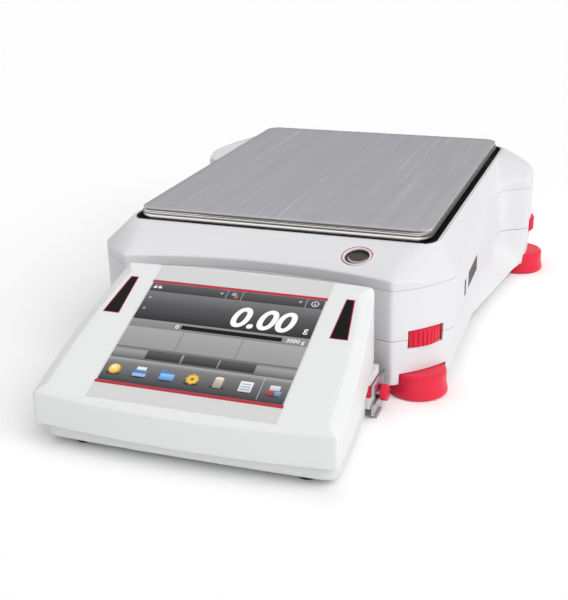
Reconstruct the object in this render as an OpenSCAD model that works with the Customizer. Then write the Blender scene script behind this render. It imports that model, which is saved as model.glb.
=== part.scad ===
// Top-loading laboratory balance with a tilted touch terminal docked at the front.
// Millimetres, +Z up, the bench at Z = 0, +Y away from the user.

/* [Pan] */
// Width of the weighing pan
pan_w = 207; // [196:1:210]
// Depth of the weighing pan, front to back
pan_d = 268; // [250:1:284]
// Height of the pan's surface above the bench
pan_top = 98; // [97:0.5:104]
// Height of the pan's turned-down rim
rim_h = 8; // [6:0.5:9]
// Outer radius of the roll along the pan's edge
rim_roll = 3.5; // [2.5:0.5:4.5]
// Radius of the pan's corners in plan
pan_corner = 11; // [8:1:16]
// Sheet thickness of the pan
pan_sheet = 1.2; // [1:0.1:2]
// Gap between the pan and the housing all round
pan_gap = 3.5; // [3:0.5:5]
// Thickness of the spider that carries the pan
spider_t = 4; // [3:0.5:5]
// Radius of each rubber buffer under the pan
buffer_r = 6; // [4:0.5:8]

/* [Housing] */
// Width over the front corners
body_w = 247; // [242:1:252]
// Width over the sides at the waist, ahead of the rear legs
waist_w = 237; // [232:1:240]
// Width over the rear legs
leg_w = 281; // [277:1:290]
// Radius of each rear corner in plan
leg_round = 61; // [55:1:65]
// Width of the concave front face between the corner faces
face_w = 182; // [176:1:188]
// Reach of the front corners ahead of the pan
nose = 47.5; // [45:0.5:54]
// Hollow of the front face at the middle
face_dip = 13; // [8:1:15]
// Depth over which each slanted corner face runs back
corner_run = 37; // [33:1:41]
// Bow of each slanted corner face at its middle
corner_bow = 3.5; // [2:0.5:6]
// Reach of the housing behind the pan
tail = 12; // [10:1:16]
// Height of the deck round the pan
deck_z = 91.5; // [91:0.5:94]
// Height of the deck's front edge
brow_z = 80.5; // [79:0.5:84]
// Height of the seam under the top cover
seam_high = 73.5; // [72:0.5:76]
// Height of the seam between lower and upper housing, also the wheels' middle
seam_low = 40; // [39:0.5:44]
// Height of the housing's lower edge at the legs
skirt_z = 9; // [8:0.5:12]
// Height of the recess in the underside between the legs
belly_z = 22; // [20:0.5:24]
// Wall thickness of the housing
wall = 3; // [2.5:0.5:4]

/* [Levelling feet] */
// Radius of each levelling wheel
wheel_r = 18; // [16:0.5:19]
// Thickness of each levelling wheel
wheel_h = 11.2; // [9:0.2:12]
// Ribs round each levelling wheel
wheel_ribs = 36; // [24:2:48]
// How far a wheel stands out of its window
wheel_proud = 2.5; // [1:0.5:3]
// Width of each wheel's window
window_w = 27; // [24:1:30]
// Radius of a foot where it enters the leg
foot_r = 16; // [15:0.5:17]
// Radius of a foot's flange on the bench
flange_r = 19; // [18:0.5:21]
// Height of a foot
foot_h = 16.5; // [15:0.5:19]
// How far a foot's middle lies outside its wheel's axis
foot_out = 8; // [6:0.5:9]
// Radius of the threaded stud in each foot
stud_r = 4; // [3:0.5:5]
// Direction that each rear wheel faces, turned back from straight sideways, in degrees
rear_turn = 8; // [4:1:14]
// Furthest a foot can be screwed down
foot_travel = 5; // [3:0.5:8]

/* [Terminal] */
// Tilt of the terminal's top face in degrees
tilt = 21.4; // [19:0.2:23]
// Width of the terminal at its front corners
term_front_w = 186; // [180:1:190]
// Width of the terminal at its rear corners
term_rear_w = 166; // [162:1:170]
// Distance of the front corners from the display's lower edge, down the slope
term_lip = 12.5; // [11:0.5:14]
// Bow of the front edge at the middle
term_bow = 5; // [3:0.5:7]
// Gap between the terminal's rear corners and the housing's nose
term_gap = 8; // [5:0.5:10]
// Height of the top face at the display's lower edge
screen_z = 41.7; // [40:0.1:46]
// Width of the display window
screen_w = 116; // [110:1:120]
// Length of the display window up the slope
screen_l = 90; // [84:1:92]
// Length of the top face behind the display window
term_brow = 16; // [14:1:18]
// Height of the parting line at the front
part_front_z = 15; // [12:0.5:18]
// Height of the parting line at the rear
part_rear_z = 33; // [30:0.5:38]
// Wall thickness of the terminal's shells
term_wall = 2.5; // [2:0.5:3]
// Height of the rubber feet under the terminal
term_foot_h = 3; // [2:0.5:4]

/* [Hidden] */
$fn = 64;

// Colours
white = [0.93, 0.93, 0.94];
warm_white = [0.91, 0.91, 0.90];
overlay_grey = [0.82, 0.82, 0.81];
red = [0.90, 0.14, 0.27];
steel = [0.66, 0.66, 0.68];
black = [0.08, 0.08, 0.09];
dark_grey = [0.30, 0.31, 0.33];
aluminium = [0.75, 0.76, 0.78];
board_green = [0.10, 0.32, 0.20];
glass_blue = [0.24, 0.27, 0.32];
vial_amber = [0.45, 0.38, 0.32];

// Clearances
run_gap = 0.05;
thread_gap = 0.25;
move_gap = 0.5;
seat_gap = 0.1;
through = 1;

// Places along Y, with the pan's front edge at zero
body_back = pan_d + tail;
corner_y = corner_run - nose;
port_proud = 4;
term_rear_y = -nose - term_gap;
term_len = screen_l + term_brow;
screen_y = term_rear_y - term_len * cos(tilt);
term_front_y = screen_y - (term_lip + term_bow) * cos(tilt);
pan_front = -(body_back + port_proud + term_front_y) / 2;

// Right rear leg in plan: middle of its round corner, front edge and root at the waist
leg_lead = 12;
leg_flare = 12;
leg_mid = [leg_w / 2 - leg_round, body_back - leg_round];
leg_front = leg_mid + [sqrt(leg_round * leg_round - leg_lead * leg_lead), -leg_lead];
leg_root = [waist_w / 2, leg_front.y - leg_flare];
leg_face = (leg_front - leg_root) / norm(leg_front - leg_root);
root_r = 18;
edge_r = 5;
waist_y = leg_root.y - root_r;
side_bend = 1.4;

// Levelling wheels: plan places of the axes and the direction each faces
corner_dir = [corner_run, face_w / 2 - body_w / 2] / norm([corner_run, body_w / 2 - face_w / 2]);
corner_mid = [(body_w + face_w) / 4, corner_y - corner_run / 2] + corner_dir * corner_bow;
wheel_set = wheel_r - wheel_proud;
front_axis_xy = corner_mid - corner_dir * wheel_set;
rear_axis_xy = leg_mid + (leg_round - wheel_set) * [cos(rear_turn), sin(rear_turn)];
front_turn = atan2(corner_dir.y, corner_dir.x);
window_h = wheel_h + 2 * move_gap;
stud_top = seam_low + wheel_h / 2 + foot_travel + 8;
boss_r = wheel_r + 3;

// Top cover
well_x = pan_w / 2 + pan_gap;
well_y0 = -pan_gap;
well_y1 = pan_d + pan_gap;
well_z = 80;
cover_under = well_z - wall;
crease_z = seam_high + 2.5;
shoulder_w = waist_w / 2 - well_x - 0.5;
shoulder_bulge = 1.5;
shoulder_round = 14;
leg_crease_z = seam_high + 7.5;
leg_slope_w = 40;
post_hole_r = 15;

// Level vial
vial_xy = [62, -23.5];
vial_r = 8;
ring_r = 10;
deck_tilt = atan2(deck_z - brow_z, nose + well_y0 - 2);
vial_z = brow_z + (vial_xy.y + nose) * tan(deck_tilt);
cup_h = 9;

// Inside the housing
floor_z = belly_z + wall;
cell_size = [84, 150, 34];
cell_y = pan_d / 2;
cell_hole_y = 30;
cell_hole_r = 11;
cell_slit = 4;
post_r = 9;
spider_z = well_z + 4;
board_size = [32, 120, 1.6];
board_corner = [boss_r + 3.5 - rear_axis_xy.x, pan_d - 150];
chassis_size = [120, 190, 6];
pillar_h = 8;
pillar_in = 6;

// Rear panel and ports
panel_w = 130;
panel_h = 24;
panel_t = 3;
panel_z = seam_low + 3;
jack_x = -48;
jack_r = 2.85;
jack_depth = 9;
serial_x = -8;
serial_pitch = 25;
usb_x = 38;
usb_w = 12.6;
usb_h = 5.2;
usb_depth = 10;
port_z = panel_z + panel_h / 2;

// Socket for the terminal's lead in the front face, and its partner in the terminal
socket_w = 18;
socket_h = 10;
socket_z = 52;

// Screws that close the housing from below
screw_r = 3.5;
screw_h = 4;
screw_x = 70;
screw_in = 30;

// Plug over the hook for weighing below the balance
plug_r = 12;
plug_z = skirt_z + 4;

// Latch slots in the side walls
slot_long = [45, 84];
slot_short = [28, 34];
slot_z = [46, 57];
slot_deep = 1.6;

// Docking bracket and clamps
bracket_t = 2;
ear_x = 86;
ear_y1 = -nose - 1;
ear_y0 = ear_y1 - 26.5;
ear_z = 22;
bar_l = 6;
tongue_w = 130;
tongue_l = 34;
bracket_screw_xy = [40, ear_y1 + 24];
bracket_screw_r = 2;
bracket_screw_l = 8;
clamp_y = ear_y1 - 13;
clamp_z = 12.5;
clamp_r = 2.5;
knob_r = 5.5;
knob_l = 5;
cleat_w = 8;
cleat_y1 = ear_y1 - 7;

// Terminal
term_slope = tan(tilt);
term_rear_bow = 2;
term_side_bow = 2.5;
term_corner = 5;
overlay_t = 0.8;
screen_side = 1;
screen_end = 2.5;
glass_t = 1.8;
panel_depth = 5;
term_board = [screen_w + 4, screen_l - 20, 1.6];
term_board_y = 8;
bottom_inset = 3;
view_w = screen_w - 2 * screen_side;
view_l = screen_l - 2 * screen_end;
keel_run = 14;
recess_y = ear_y0 - 4;
recess_z = 28;

// Unit vector along v
function unit(v) = v / norm(v);

// Points of the arc of radius r that rounds corner b between its neighbours a and c
function corner_arc(a, b, c, r, n) =
    let (
        u = unit(a - b),
        w = unit(c - b),
        half = acos(u * w) / 2,
        centre = b + unit(u + w) * r / sin(half),
        p = b + u * r / tan(half) - centre,
        q = b + w * r / tan(half) - centre,
        start = atan2(p.y, p.x),
        turn = (atan2(q.y, q.x) - start + 540) % 360 - 180
    )
    [for (i = [0 : n]) centre + r * [cos(start + turn * i / n), sin(start + turn * i / n)]];

// Outline through corners [x, y, radius], each rounded to its radius
function rounded(corners, n = 5) =
    let (count = len(corners))
    [for (i = [0 : count - 1])
        let (
            a = corners[(i + count - 1) % count],
            b = corners[i],
            c = corners[(i + 1) % count]
        )
        each b.z == 0
            ? [[b.x, b.y]]
            : corner_arc([a.x, a.y], [b.x, b.y], [c.x, c.y], b.z, n)];

// A right half outline, front to back, closed by its mirror image
function mirrored(half) =
    concat(half, [for (i = [len(half) - 1 : -1 : 0]) if (half[i].x > 0) [-half[i].x, half[i].y]]);

// Height of the terminal's top face at y
function top_face_z(y) = screen_z + (y - screen_y) * term_slope;

// Half the width of the housing at y, from the front corners to the waist
function side_x(y) =
    waist_w / 2 + (body_w - waist_w) / 2 * pow((waist_y - y) / (waist_y - corner_y), side_bend);

// Right half of the housing's plan, drawn in by inset all round
function plan_half(inset) =
    let (
        shift = inset * [-1, leg_face.x / (1 + leg_face.y)],
        root = leg_root + shift,
        edge = leg_front + shift,
        start = asin((leg_lead - shift.y) / (leg_round - inset)),
        corner = [for (i = [1 : 14])
            let (a = (90 + start) * i / 14 - start)
            leg_mid + (leg_round - inset) * [cos(a), sin(a)]]
    )
    concat(
        [for (i = [0 : 8])
            let (s = i / 8)
            [(face_w / 2 - inset / 2) * s, inset - nose + face_dip * (1 - s * s)]],
        [for (i = [1 : 6])
            let (
                s = i / 6,
                x = face_w / 2 - inset / 2 + (body_w - face_w - inset) / 2 * s,
                y = inset * (1 - s / 2) - nose + corner_run * s
            )
            [x, y] + corner_dir * corner_bow * 4 * s * (1 - s)],
        [for (i = [1 : 7])
            let (y = corner_y + (waist_y - corner_y) * i / 8)
            [side_x(y) - inset, y]],
        corner_arc([root.x, waist_y], root, edge, root_r + inset, 7),
        corner_arc(root, edge, corner[0], max(edge_r - inset, 0.5), 3),
        corner
    );

// Plan of the terminal, drawn in by inset all round, with every edge bowed outwards
function terminal_plan(inset) =
    let (
        front = [term_front_w / 2 - inset, term_front_y + term_bow * cos(tilt) + inset],
        rear = [term_rear_w / 2 - inset, term_rear_y - term_rear_bow - inset]
    )
    rounded(concat(
        bowed([-front.x, front.y], front, term_bow * cos(tilt)),
        bowed(front, rear, term_side_bow),
        bowed(rear, [-rear.x, rear.y], term_rear_bow),
        bowed([-rear.x, rear.y], [-front.x, front.y], term_side_bow)
    ));

// Edge from corner a towards corner b, bowed to the right by bow, as corners [x, y, radius]
function bowed(a, b, bow) =
    let (aside = [b.y - a.y, a.x - b.x] / norm(b - a))
    [for (i = [0 : 7])
        let (s = i / 8, p = a + (b - a) * s + aside * bow * 4 * s * (1 - s))
        [p.x, p.y, i == 0 ? term_corner : 0]];

// Moves from the pan's front edge to the middle of the whole balance
module placed() {
    translate([0, pan_front, 0])
        children();
}

// Draws a profile given as [y, z] points right across the balance
module across(width) {
    rotate([90, 0, 90])
        translate([0, 0, -width / 2])
            linear_extrude(width)
                children();
}

// Draws a profile given as [x, z] points from y0 back to y1
module along(y0, y1) {
    translate([0, y1, 0])
        rotate([90, 0, 0])
            linear_extrude(y1 - y0)
                children();
}

// Repeats its child at both sides of the balance
module both_sides() {
    children();
    mirror([1, 0, 0])
        children();
}

// Turns from a wheel's own frame, +X out of the leg, to its place at front or rear
module at_wheel(rear, left) {
    mirror([left ? 1 : 0, 0, 0])
        translate(rear ? rear_axis_xy : front_axis_xy)
            rotate(rear ? rear_turn : front_turn)
                children();
}

// Repeats its child at all four wheels
module at_wheels() {
    for (rear = [false, true], left = [false, true])
        at_wheel(rear, left)
            children();
}

// Frame of the terminal's top face: origin at the display's lower edge, +Y up the slope
module on_terminal() {
    translate([0, screen_y, screen_z])
        rotate([tilt, 0, 0])
            children();
}

// Frame of the sloping deck at the level vial
module on_deck() {
    translate([vial_xy.x, vial_xy.y, vial_z])
        rotate([deck_tilt, 0, 0])
            children();
}

// Space swept by a levelling wheel with its window through the leg's face
module wheel_space() {
    translate([0, 0, seam_low - window_h / 2]) {
        cylinder(r = wheel_r + move_gap, h = window_h);
        translate([wheel_set / 2, -window_w / 2, 0])
            cube([wheel_r * 2, window_w, window_h]);
    }
}

// Space for a foot at the bottom of a leg, open below and to the outside
module foot_space() {
    translate([foot_out, 0, -through])
        cylinder(r = foot_r + move_gap, h = foot_h + move_gap + through);
}

// Bore for a foot's stud, through the lower leg and blind in the upper one
module stud_bore() {
    cylinder(r = stud_r + run_gap, h = stud_top + move_gap);
}

// Everything that is cut from the housing for the wheels, feet and studs
module leg_cuts() {
    at_wheels() {
        wheel_space();
        foot_space();
        stud_bore();
    }
}

// A slice of the housing's plan from z0 up to z1
module housing_slice(z0, z1) {
    translate([0, 0, z0])
        linear_extrude(z1 - z0)
            polygon(mirrored(plan_half(0)));
}

// The hollow inside the walls from z0 up to z1, leaving a boss round each wheel
module housing_hollow(z0, z1) {
    translate([0, 0, z0])
        linear_extrude(z1 - z0)
            difference() {
                polygon(mirrored(plan_half(wall)));
                at_wheels()
                    circle(r = boss_r);
            }
}

// Latch plugs in both side walls, grown all round and drawn out past the wall for their pockets
module latch_blocks(grow, out) {
    for (slot = [slot_long, slot_short])
        translate([0, 0, slot_z[0] - grow])
            linear_extrude(slot_z[1] - slot_z[0] + 2 * grow)
                intersection() {
                    difference() {
                        polygon(mirrored(plan_half(-out)));
                        polygon(mirrored(plan_half(slot_deep + grow)));
                    }
                    translate([-body_w, slot[0] - grow])
                        square([2 * body_w, slot[1] - slot[0] + 2 * grow]);
                }
}

// Recess in the underside, inside the side walls and between the legs
module belly() {
    half = waist_w / 2 - 2 * wall;
    y0 = wall;
    y1 = leg_root.y - wall;
    translate([0, 0, skirt_z - through])
        linear_extrude(belly_z - skirt_z + through)
            polygon(rounded([[-half, y0, 12], [half, y0, 12], [half, y1, 12], [-half, y1, 12]]));
}

// Places of the screws that close the housing from below
module at_housing_screws() {
    for (x = [-screw_x, screw_x], y = [-screw_in, body_back - screw_in])
        translate([x, y, skirt_z])
            children();
}

// Places of the screws that hold the docking bracket, at its underside
module at_bracket_screws() {
    both_sides()
        translate([bracket_screw_xy.x, bracket_screw_xy.y, skirt_z - bracket_t])
            children();
}

module lower_housing() color(white) placed() {
    difference() {
        housing_slice(skirt_z, seam_low);
        housing_hollow(floor_z, seam_low + through);
        belly();
        leg_cuts();
        at_housing_screws()
            translate([0, 0, -through])
                cylinder(r = screw_r + seat_gap, h = screw_h + through);
        at_bracket_screws()
            cylinder(r = bracket_screw_r + seat_gap, h = bracket_screw_l + seat_gap);
        translate([0, cell_y, 0])
            cylinder(r = plug_r + run_gap, h = floor_z + through);
    }
}

module upper_housing() color(white) placed() {
    difference() {
        housing_slice(seam_low, seam_high);
        housing_hollow(seam_low - through, seam_high + through);
        leg_cuts();
        latch_blocks(seat_gap, through);
        translate([-panel_w / 2 - seat_gap, body_back - wall - through, panel_z - seat_gap])
            cube([panel_w + 2 * seat_gap, wall + 2 * through, panel_h + 2 * seat_gap]);
        translate([-socket_w / 2 - seat_gap, -nose, socket_z - seat_gap])
            cube([socket_w + 2 * seat_gap, face_dip + 2 * wall, socket_h + 2 * seat_gap]);
    }
}

// Outer form of the top cover: plan, side profile and cross-section cut each other
module cover_form() {
    intersection() {
        housing_slice(seam_high, deck_z);
        across(leg_w + 2 * through)
            polygon(rounded([
                [-nose - through, seam_high, 0],
                [body_back + through, seam_high, 0],
                [body_back + through, seam_high + 6, 0],
                [body_back - 6, deck_z, 8],
                [well_y0 - 2, deck_z, 12],
                [-nose + 1, brow_z, 3],
                [-nose - through, brow_z - 4, 0]
            ]));
        union() {
            deck();
            both_sides()
                leg_top();
        }
    }
}

// Section through a shoulder of the cover, from x = -reach out to the wall at x = 0
module shoulder(reach, low, width) {
    polygon(rounded([
        [-reach, seam_high, 0],
        [0, seam_high, 0],
        [0, low, 0],
        [shoulder_bulge - width / 2, (low + deck_z) / 2 + shoulder_bulge, shoulder_round],
        [-width, deck_z, 0],
        [-reach, deck_z, 0]
    ]));
}

// Deck with a shoulder along each tapering side, without the round rear corners
module deck() {
    intersection() {
        side_shoulder();
        mirror([1, 0, 0])
            side_shoulder();
        translate([0, 0, seam_high])
            linear_extrude(deck_z - seam_high)
                polygon(mirrored([
                    [0, -nose - through],
                    [body_w, -nose - through],
                    [body_w, leg_mid.y + 4],
                    [leg_mid.x + 4, leg_mid.y + 4],
                    [leg_mid.x + 4, body_back + through],
                    [0, body_back + through]
                ]));
    }
}

// Everything within the shoulder of the right side
module side_shoulder() {
    translate([body_w / 2, corner_y, 0])
        rotate(atan2((body_w - waist_w) / 2, waist_y - corner_y))
            along(-body_w, 2 * pan_d)
                shoulder(2 * body_w, crease_z, shoulder_w);
}

// Top of the right rear leg, with a shoulder round its corner and a long slope up from its front
module leg_top() {
    intersection() {
        translate(leg_mid)
            rotate(-60)
                rotate_extrude(angle = 180)
                    translate([leg_round, 0])
                        shoulder(leg_round, leg_crease_z, shoulder_w);
        translate(leg_root)
            rotate(atan2(-leg_face.x, leg_face.y))
                along(-leg_w, leg_w)
                    shoulder(leg_w, leg_crease_z, leg_slope_w);
    }
}

module top_cover() color(white) placed() {
    difference() {
        cover_form();
        translate([0, 0, seam_high - through])
            linear_extrude(cover_under - seam_high + through)
                polygon(mirrored(plan_half(wall)));
        translate([-well_x, well_y0, well_z])
            linear_extrude(deck_z)
                polygon(rounded([
                    [0, 0, pan_corner],
                    [2 * well_x, 0, pan_corner],
                    [2 * well_x, well_y1 - well_y0, pan_corner],
                    [0, well_y1 - well_y0, pan_corner]
                ]));
        translate([0, cell_y, seam_high])
            cylinder(r = post_hole_r, h = deck_z);
        on_deck()
            translate([0, 0, -cup_h])
                cylinder(r = ring_r + seat_gap, h = cup_h * 2);
        on_deck()
            translate([0, 0, -cup_h - 8])
                cylinder(r = ring_r + seat_gap, h = cup_h);
    }
}

module rear_panel() color(dark_grey) placed() {
    difference() {
        translate([-panel_w / 2, body_back - panel_t, panel_z])
            cube([panel_w, panel_t, panel_h]);
        translate([0, body_back + through, port_z])
            rotate([90, 0, 0]) {
                translate([jack_x, 0, 0])
                    cylinder(r = 6 + seat_gap, h = panel_t + 2 * through);
                linear_extrude(panel_t + 2 * through) {
                    translate([serial_x, 0])
                        square([19 + 2 * seat_gap, 10 + 2 * seat_gap], center = true);
                    translate([usb_x, 0])
                        square([usb_w + 2 + 2 * seat_gap, usb_h + 2 + 2 * seat_gap], center = true);
                }
                for (side = [-1, 1])
                    translate([serial_x + side * serial_pitch / 2, 0, 0])
                        cylinder(r = 1.5, h = panel_t + 2 * through);
            }
    }
}

module power_jack() color(black) placed() {
    translate([jack_x, body_back + 0.6, port_z])
        rotate([90, 0, 0])
            difference() {
                union() {
                    cylinder(r = 6, h = jack_depth + 3);
                    translate([0, 0, panel_t + 0.6])
                        cylinder(r = 8, h = 2);
                }
                translate([0, 0, -through])
                    cylinder(r = jack_r, h = jack_depth + through);
            }
}

module serial_port() color(aluminium) placed() {
    translate([serial_x, body_back + port_proud, port_z])
        rotate([90, 0, 0]) {
            translate([0, 0, port_proud + panel_t])
                linear_extrude(8)
                    difference() {
                        square([31, 12.5], center = true);
                        for (side = [-1, 1])
                            translate([side * serial_pitch / 2, 0])
                                circle(r = 1.5);
                    }
            linear_extrude(port_proud + panel_t)
                polygon(rounded([[-9.5, 5, 2], [9.5, 5, 2], [7.6, -5, 2], [-7.6, -5, 2]]));
        }
}

module usb_port() color(aluminium) placed() {
    translate([usb_x, body_back + 0.4, port_z])
        rotate([90, 0, 0])
            difference() {
                linear_extrude(usb_depth + 3)
                    square([usb_w + 2, usb_h + 2], center = true);
                translate([0, 0, -through])
                    linear_extrude(usb_depth + through)
                        square([usb_w, usb_h], center = true);
            }
}

module chassis_plate() color(aluminium) placed() {
    half = [chassis_size.x, chassis_size.y] / 2;
    translate([0, cell_y, floor_z])
        difference() {
            linear_extrude(chassis_size.z)
                polygon(rounded([[-half.x, -half.y, 8], [half.x, -half.y, 8],
                                 [half.x, half.y, 8], [-half.x, half.y, 8]]));
            translate([0, 0, -through])
                cylinder(r = plug_r + run_gap, h = chassis_size.z + 2 * through);
        }
}

module weigh_cell() color(aluminium) placed() {
    translate([0, cell_y, floor_z + chassis_size.z])
        difference() {
            translate([-cell_size.x / 2, -cell_size.y / 2, 0])
                cube(cell_size);
            for (y = [-cell_hole_y, cell_hole_y])
                translate([-cell_size.x / 2 - through, y, cell_size.z / 2])
                    rotate([0, 90, 0])
                        cylinder(r = cell_hole_r, h = cell_size.x + 2 * through);
            translate([-cell_size.x / 2 - through, -cell_hole_y, cell_size.z / 2 - cell_slit / 2])
                cube([cell_size.x + 2 * through, 2 * cell_hole_y, cell_slit]);
        }
}

module cell_post() color(steel) placed() {
    base_z = floor_z + chassis_size.z + cell_size.z;
    translate([0, cell_y, base_z])
        rotate_extrude()
            polygon([[0, 0], [post_r + 3, 0], [post_r + 3, 4], [post_r, 6],
                     [post_r, spider_z - base_z], [0, spider_z - base_z]]);
}

module main_board() color(board_green) placed() {
    translate([board_corner.x, board_corner.y, floor_z + pillar_h])
        cube(board_size);
}

module board_pillars() color(steel) placed() {
    for (x = [pillar_in, board_size.x - pillar_in], y = [pillar_in, board_size.y - pillar_in])
        translate([board_corner.x + x, board_corner.y + y, floor_z])
            cylinder(r = 3, h = pillar_h);
}

module level_cup() color(black) placed() {
    on_deck()
        difference() {
            translate([0, 0, -cup_h])
                cylinder(r = ring_r, h = cup_h - 1.2);
            translate([0, 0, 1.8 - cup_h])
                cylinder(r = vial_r + seat_gap, h = cup_h);
        }
}

module level_vial() color(vial_amber) placed() {
    on_deck()
        translate([0, 0, 1.8 - cup_h])
            cylinder(r = vial_r, h = cup_h - 4);
}

module level_ring() color(red) placed() {
    on_deck()
        translate([0, 0, -1.2])
            difference() {
                cylinder(r = ring_r, h = 1.5);
                translate([0, 0, -through])
                    cylinder(r = vial_r, h = 4);
            }
}

module latch_plugs() color(dark_grey) placed()
    latch_blocks(0, 0);

module housing_screws() color(steel) placed()
    at_housing_screws()
        cylinder(r = screw_r, h = screw_h);

module hook_plug() color(dark_grey) placed() {
    translate([0, cell_y, plug_z])
        difference() {
            cylinder(r = plug_r, h = floor_z + chassis_size.z - plug_z - move_gap);
            translate([-9, -1, -through])
                cube([18, 2, 1.5 + through]);
        }
}

module terminal_socket() color(black) placed() {
    translate([-socket_w / 2, face_dip - nose + 0.4, socket_z])
        cube([socket_w, wall + 6, socket_h]);
}

module dock_bracket() color(aluminium) placed() {
    difference() {
        union() {
            translate([-ear_x - bracket_t, ear_y1 - bar_l, skirt_z - bracket_t])
                cube([2 * (ear_x + bracket_t), bar_l, bracket_t]);
            translate([-tongue_w / 2, ear_y1 - through, skirt_z - bracket_t])
                cube([tongue_w, tongue_l, bracket_t]);
            both_sides()
                translate([ear_x, ear_y0, bracket_t])
                    cube([bracket_t, ear_y1 - ear_y0, ear_z - bracket_t]);
        }
        translate([-ear_x - 2 * bracket_t, ear_y0 - through, clamp_z - clamp_r - move_gap])
            cube([2 * ear_x + 4 * bracket_t, clamp_y - ear_y0 + through + 4, 2 * (clamp_r + move_gap)]);
        at_bracket_screws()
            cylinder(r = bracket_screw_r + seat_gap, h = bracket_screw_l, center = true);
    }
}

module bracket_pads() color(black) placed()
    both_sides()
        translate([ear_x - 1, ear_y0 + 2, 0])
            cube([bracket_t + 2, 12, bracket_t]);

module bracket_screws() color(steel) placed()
    at_bracket_screws() {
        translate([0, 0, -2])
            cylinder(r = 2 * bracket_screw_r, h = 2);
        cylinder(r = bracket_screw_r, h = bracket_screw_l);
    }

// Four arms of the spider reach under the pan's corners
module pan_spider() color(aluminium) placed() {
    arm = [pan_w / 2 - 22, pan_d / 2 - 24];
    translate([0, cell_y, spider_z])
        linear_extrude(spider_t) {
            circle(r = 26);
            for (side = [-1, 1])
                rotate(side * atan2(arm.y, arm.x))
                    square([2 * norm(arm), 16], center = true);
            for (x = [-1, 1], y = [-1, 1])
                translate([x * arm.x, y * arm.y])
                    circle(r = 12);
        }
}

module pan_buffers() color(black) placed() {
    for (x = [-1, 1], y = [-1, 1])
        translate([x * (pan_w / 2 - 22), cell_y + y * (pan_d / 2 - 24), spider_z + spider_t])
            cylinder(r = buffer_r, h = pan_top - pan_sheet - spider_z - spider_t);
}

// Section through the pan's rolled rim, outside at x = rim_roll
module rim_section() {
    polygon(concat(
        [for (i = [0 : 6]) rim_roll * [sin(15 * i), cos(15 * i)] - [0, rim_roll]],
        [[rim_roll, -rim_h], [rim_roll - pan_sheet, -rim_h]],
        [for (i = [6 : -1 : 0]) (rim_roll - pan_sheet) * [sin(15 * i), cos(15 * i)] - [0, rim_roll]]
    ));
}

module weighing_pan() color(steel) placed() {
    flat = [pan_w - 2 * pan_corner, pan_d - 2 * pan_corner];
    bend = pan_corner - rim_roll;
    translate([0, pan_d / 2, pan_top]) {
        translate([0, 0, -pan_sheet])
            linear_extrude(pan_sheet) {
                square([flat.x, flat.y + 2 * bend], center = true);
                square([flat.x + 2 * bend, flat.y], center = true);
                for (x = [-1, 1], y = [-1, 1])
                    translate([x * flat.x / 2, y * flat.y / 2])
                        circle(r = bend);
            }
        for (quarter = [0 : 3]) {
            run = quarter % 2 == 0 ? flat : [flat.y, flat.x];
            rotate(90 * quarter) {
                translate([run.x / 2 + bend, run.y / 2, 0])
                    rotate([90, 0, 0])
                        linear_extrude(run.y)
                            rim_section();
                translate([run.x / 2, run.y / 2, 0])
                    rotate_extrude(angle = 90)
                        translate([bend, 0])
                            rim_section();
            }
        }
    }
}

// Ribbed wheel that screws its foot up and down
module level_wheel(rear, left) color(red) placed() {
    at_wheel(rear, left)
        translate([0, 0, seam_low - wheel_h / 2])
            difference() {
                linear_extrude(wheel_h)
                    polygon([for (i = [0 : wheel_ribs - 1], edge = [0 : 3])
                        let (
                            turn = 360 / wheel_ribs * (i + [0, 0.55, 0.65, 0.9][edge]),
                            r = edge < 2 ? wheel_r : wheel_r - 0.8
                        )
                        r * [cos(turn), sin(turn)]]);
                translate([0, 0, -through])
                    cylinder(r = stud_r + thread_gap, h = wheel_h + 2 * through);
            }
}

// Bell-shaped foot with a flange on the bench, set outwards from its stud
module foot(rear, left) color(red) placed() {
    neck_z = skirt_z - move_gap;
    at_wheel(rear, left)
        difference() {
            translate([foot_out, 0, 0])
                rotate_extrude()
                    polygon(rounded([
                        [0, 0, 0],
                        [flange_r, 0, 1],
                        [flange_r, neck_z - 2, 1.5],
                        [foot_r, neck_z, 1],
                        [foot_r, foot_h, 3],
                        [0, foot_h, 0]
                    ]));
            translate([0, 0, foot_h - 12])
                cylinder(r = stud_r + 0.02, h = 12 + through);
        }
}

module foot_stud(rear, left) color(steel) placed()
    at_wheel(rear, left)
        translate([0, 0, foot_h - 12])
            cylinder(r = stud_r, h = stud_top - foot_h + 12);

// Body of the terminal between two heights given as functions of y at its front and rear
module terminal_block(inset, low_front, low_rear, high_front, high_rear) {
    y0 = term_front_y - 10;
    y1 = term_rear_y + 10;
    slope_low = (low_rear - low_front) / (term_rear_y - term_front_y);
    slope_high = (high_rear - high_front) / (term_rear_y - term_front_y);
    intersection() {
        linear_extrude(high_rear + 30)
            polygon(terminal_plan(inset));
        across(2 * term_front_w)
            polygon([
                [y0, low_front - 10 * slope_low],
                [y1, low_rear + 10 * slope_low],
                [y1, high_rear + 10 * slope_high],
                [y0, high_front - 10 * slope_high]
            ]);
    }
}

// Trapezoid of a sensor window, the inner edge straight, in the top face's frame
module sensor_outline(grow) {
    polygon([
        [68.3 - grow, 57.4 - grow],
        [78.4 + grow * 1.3, 57.4 - grow],
        [73.7 + grow * 1.3, 90.4 + grow],
        [69.3 - grow, 90.4 + grow]
    ]);
}

// Block of the lead's socket in the terminal's rear wall, up to y
module terminal_plug_block(grow, y) {
    front_y = term_rear_y - 3 * term_wall;
    translate([-socket_w / 2 - grow, front_y, socket_z - grow])
        cube([socket_w + 2 * grow, y - front_y, socket_h + 2 * grow]);
}

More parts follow.
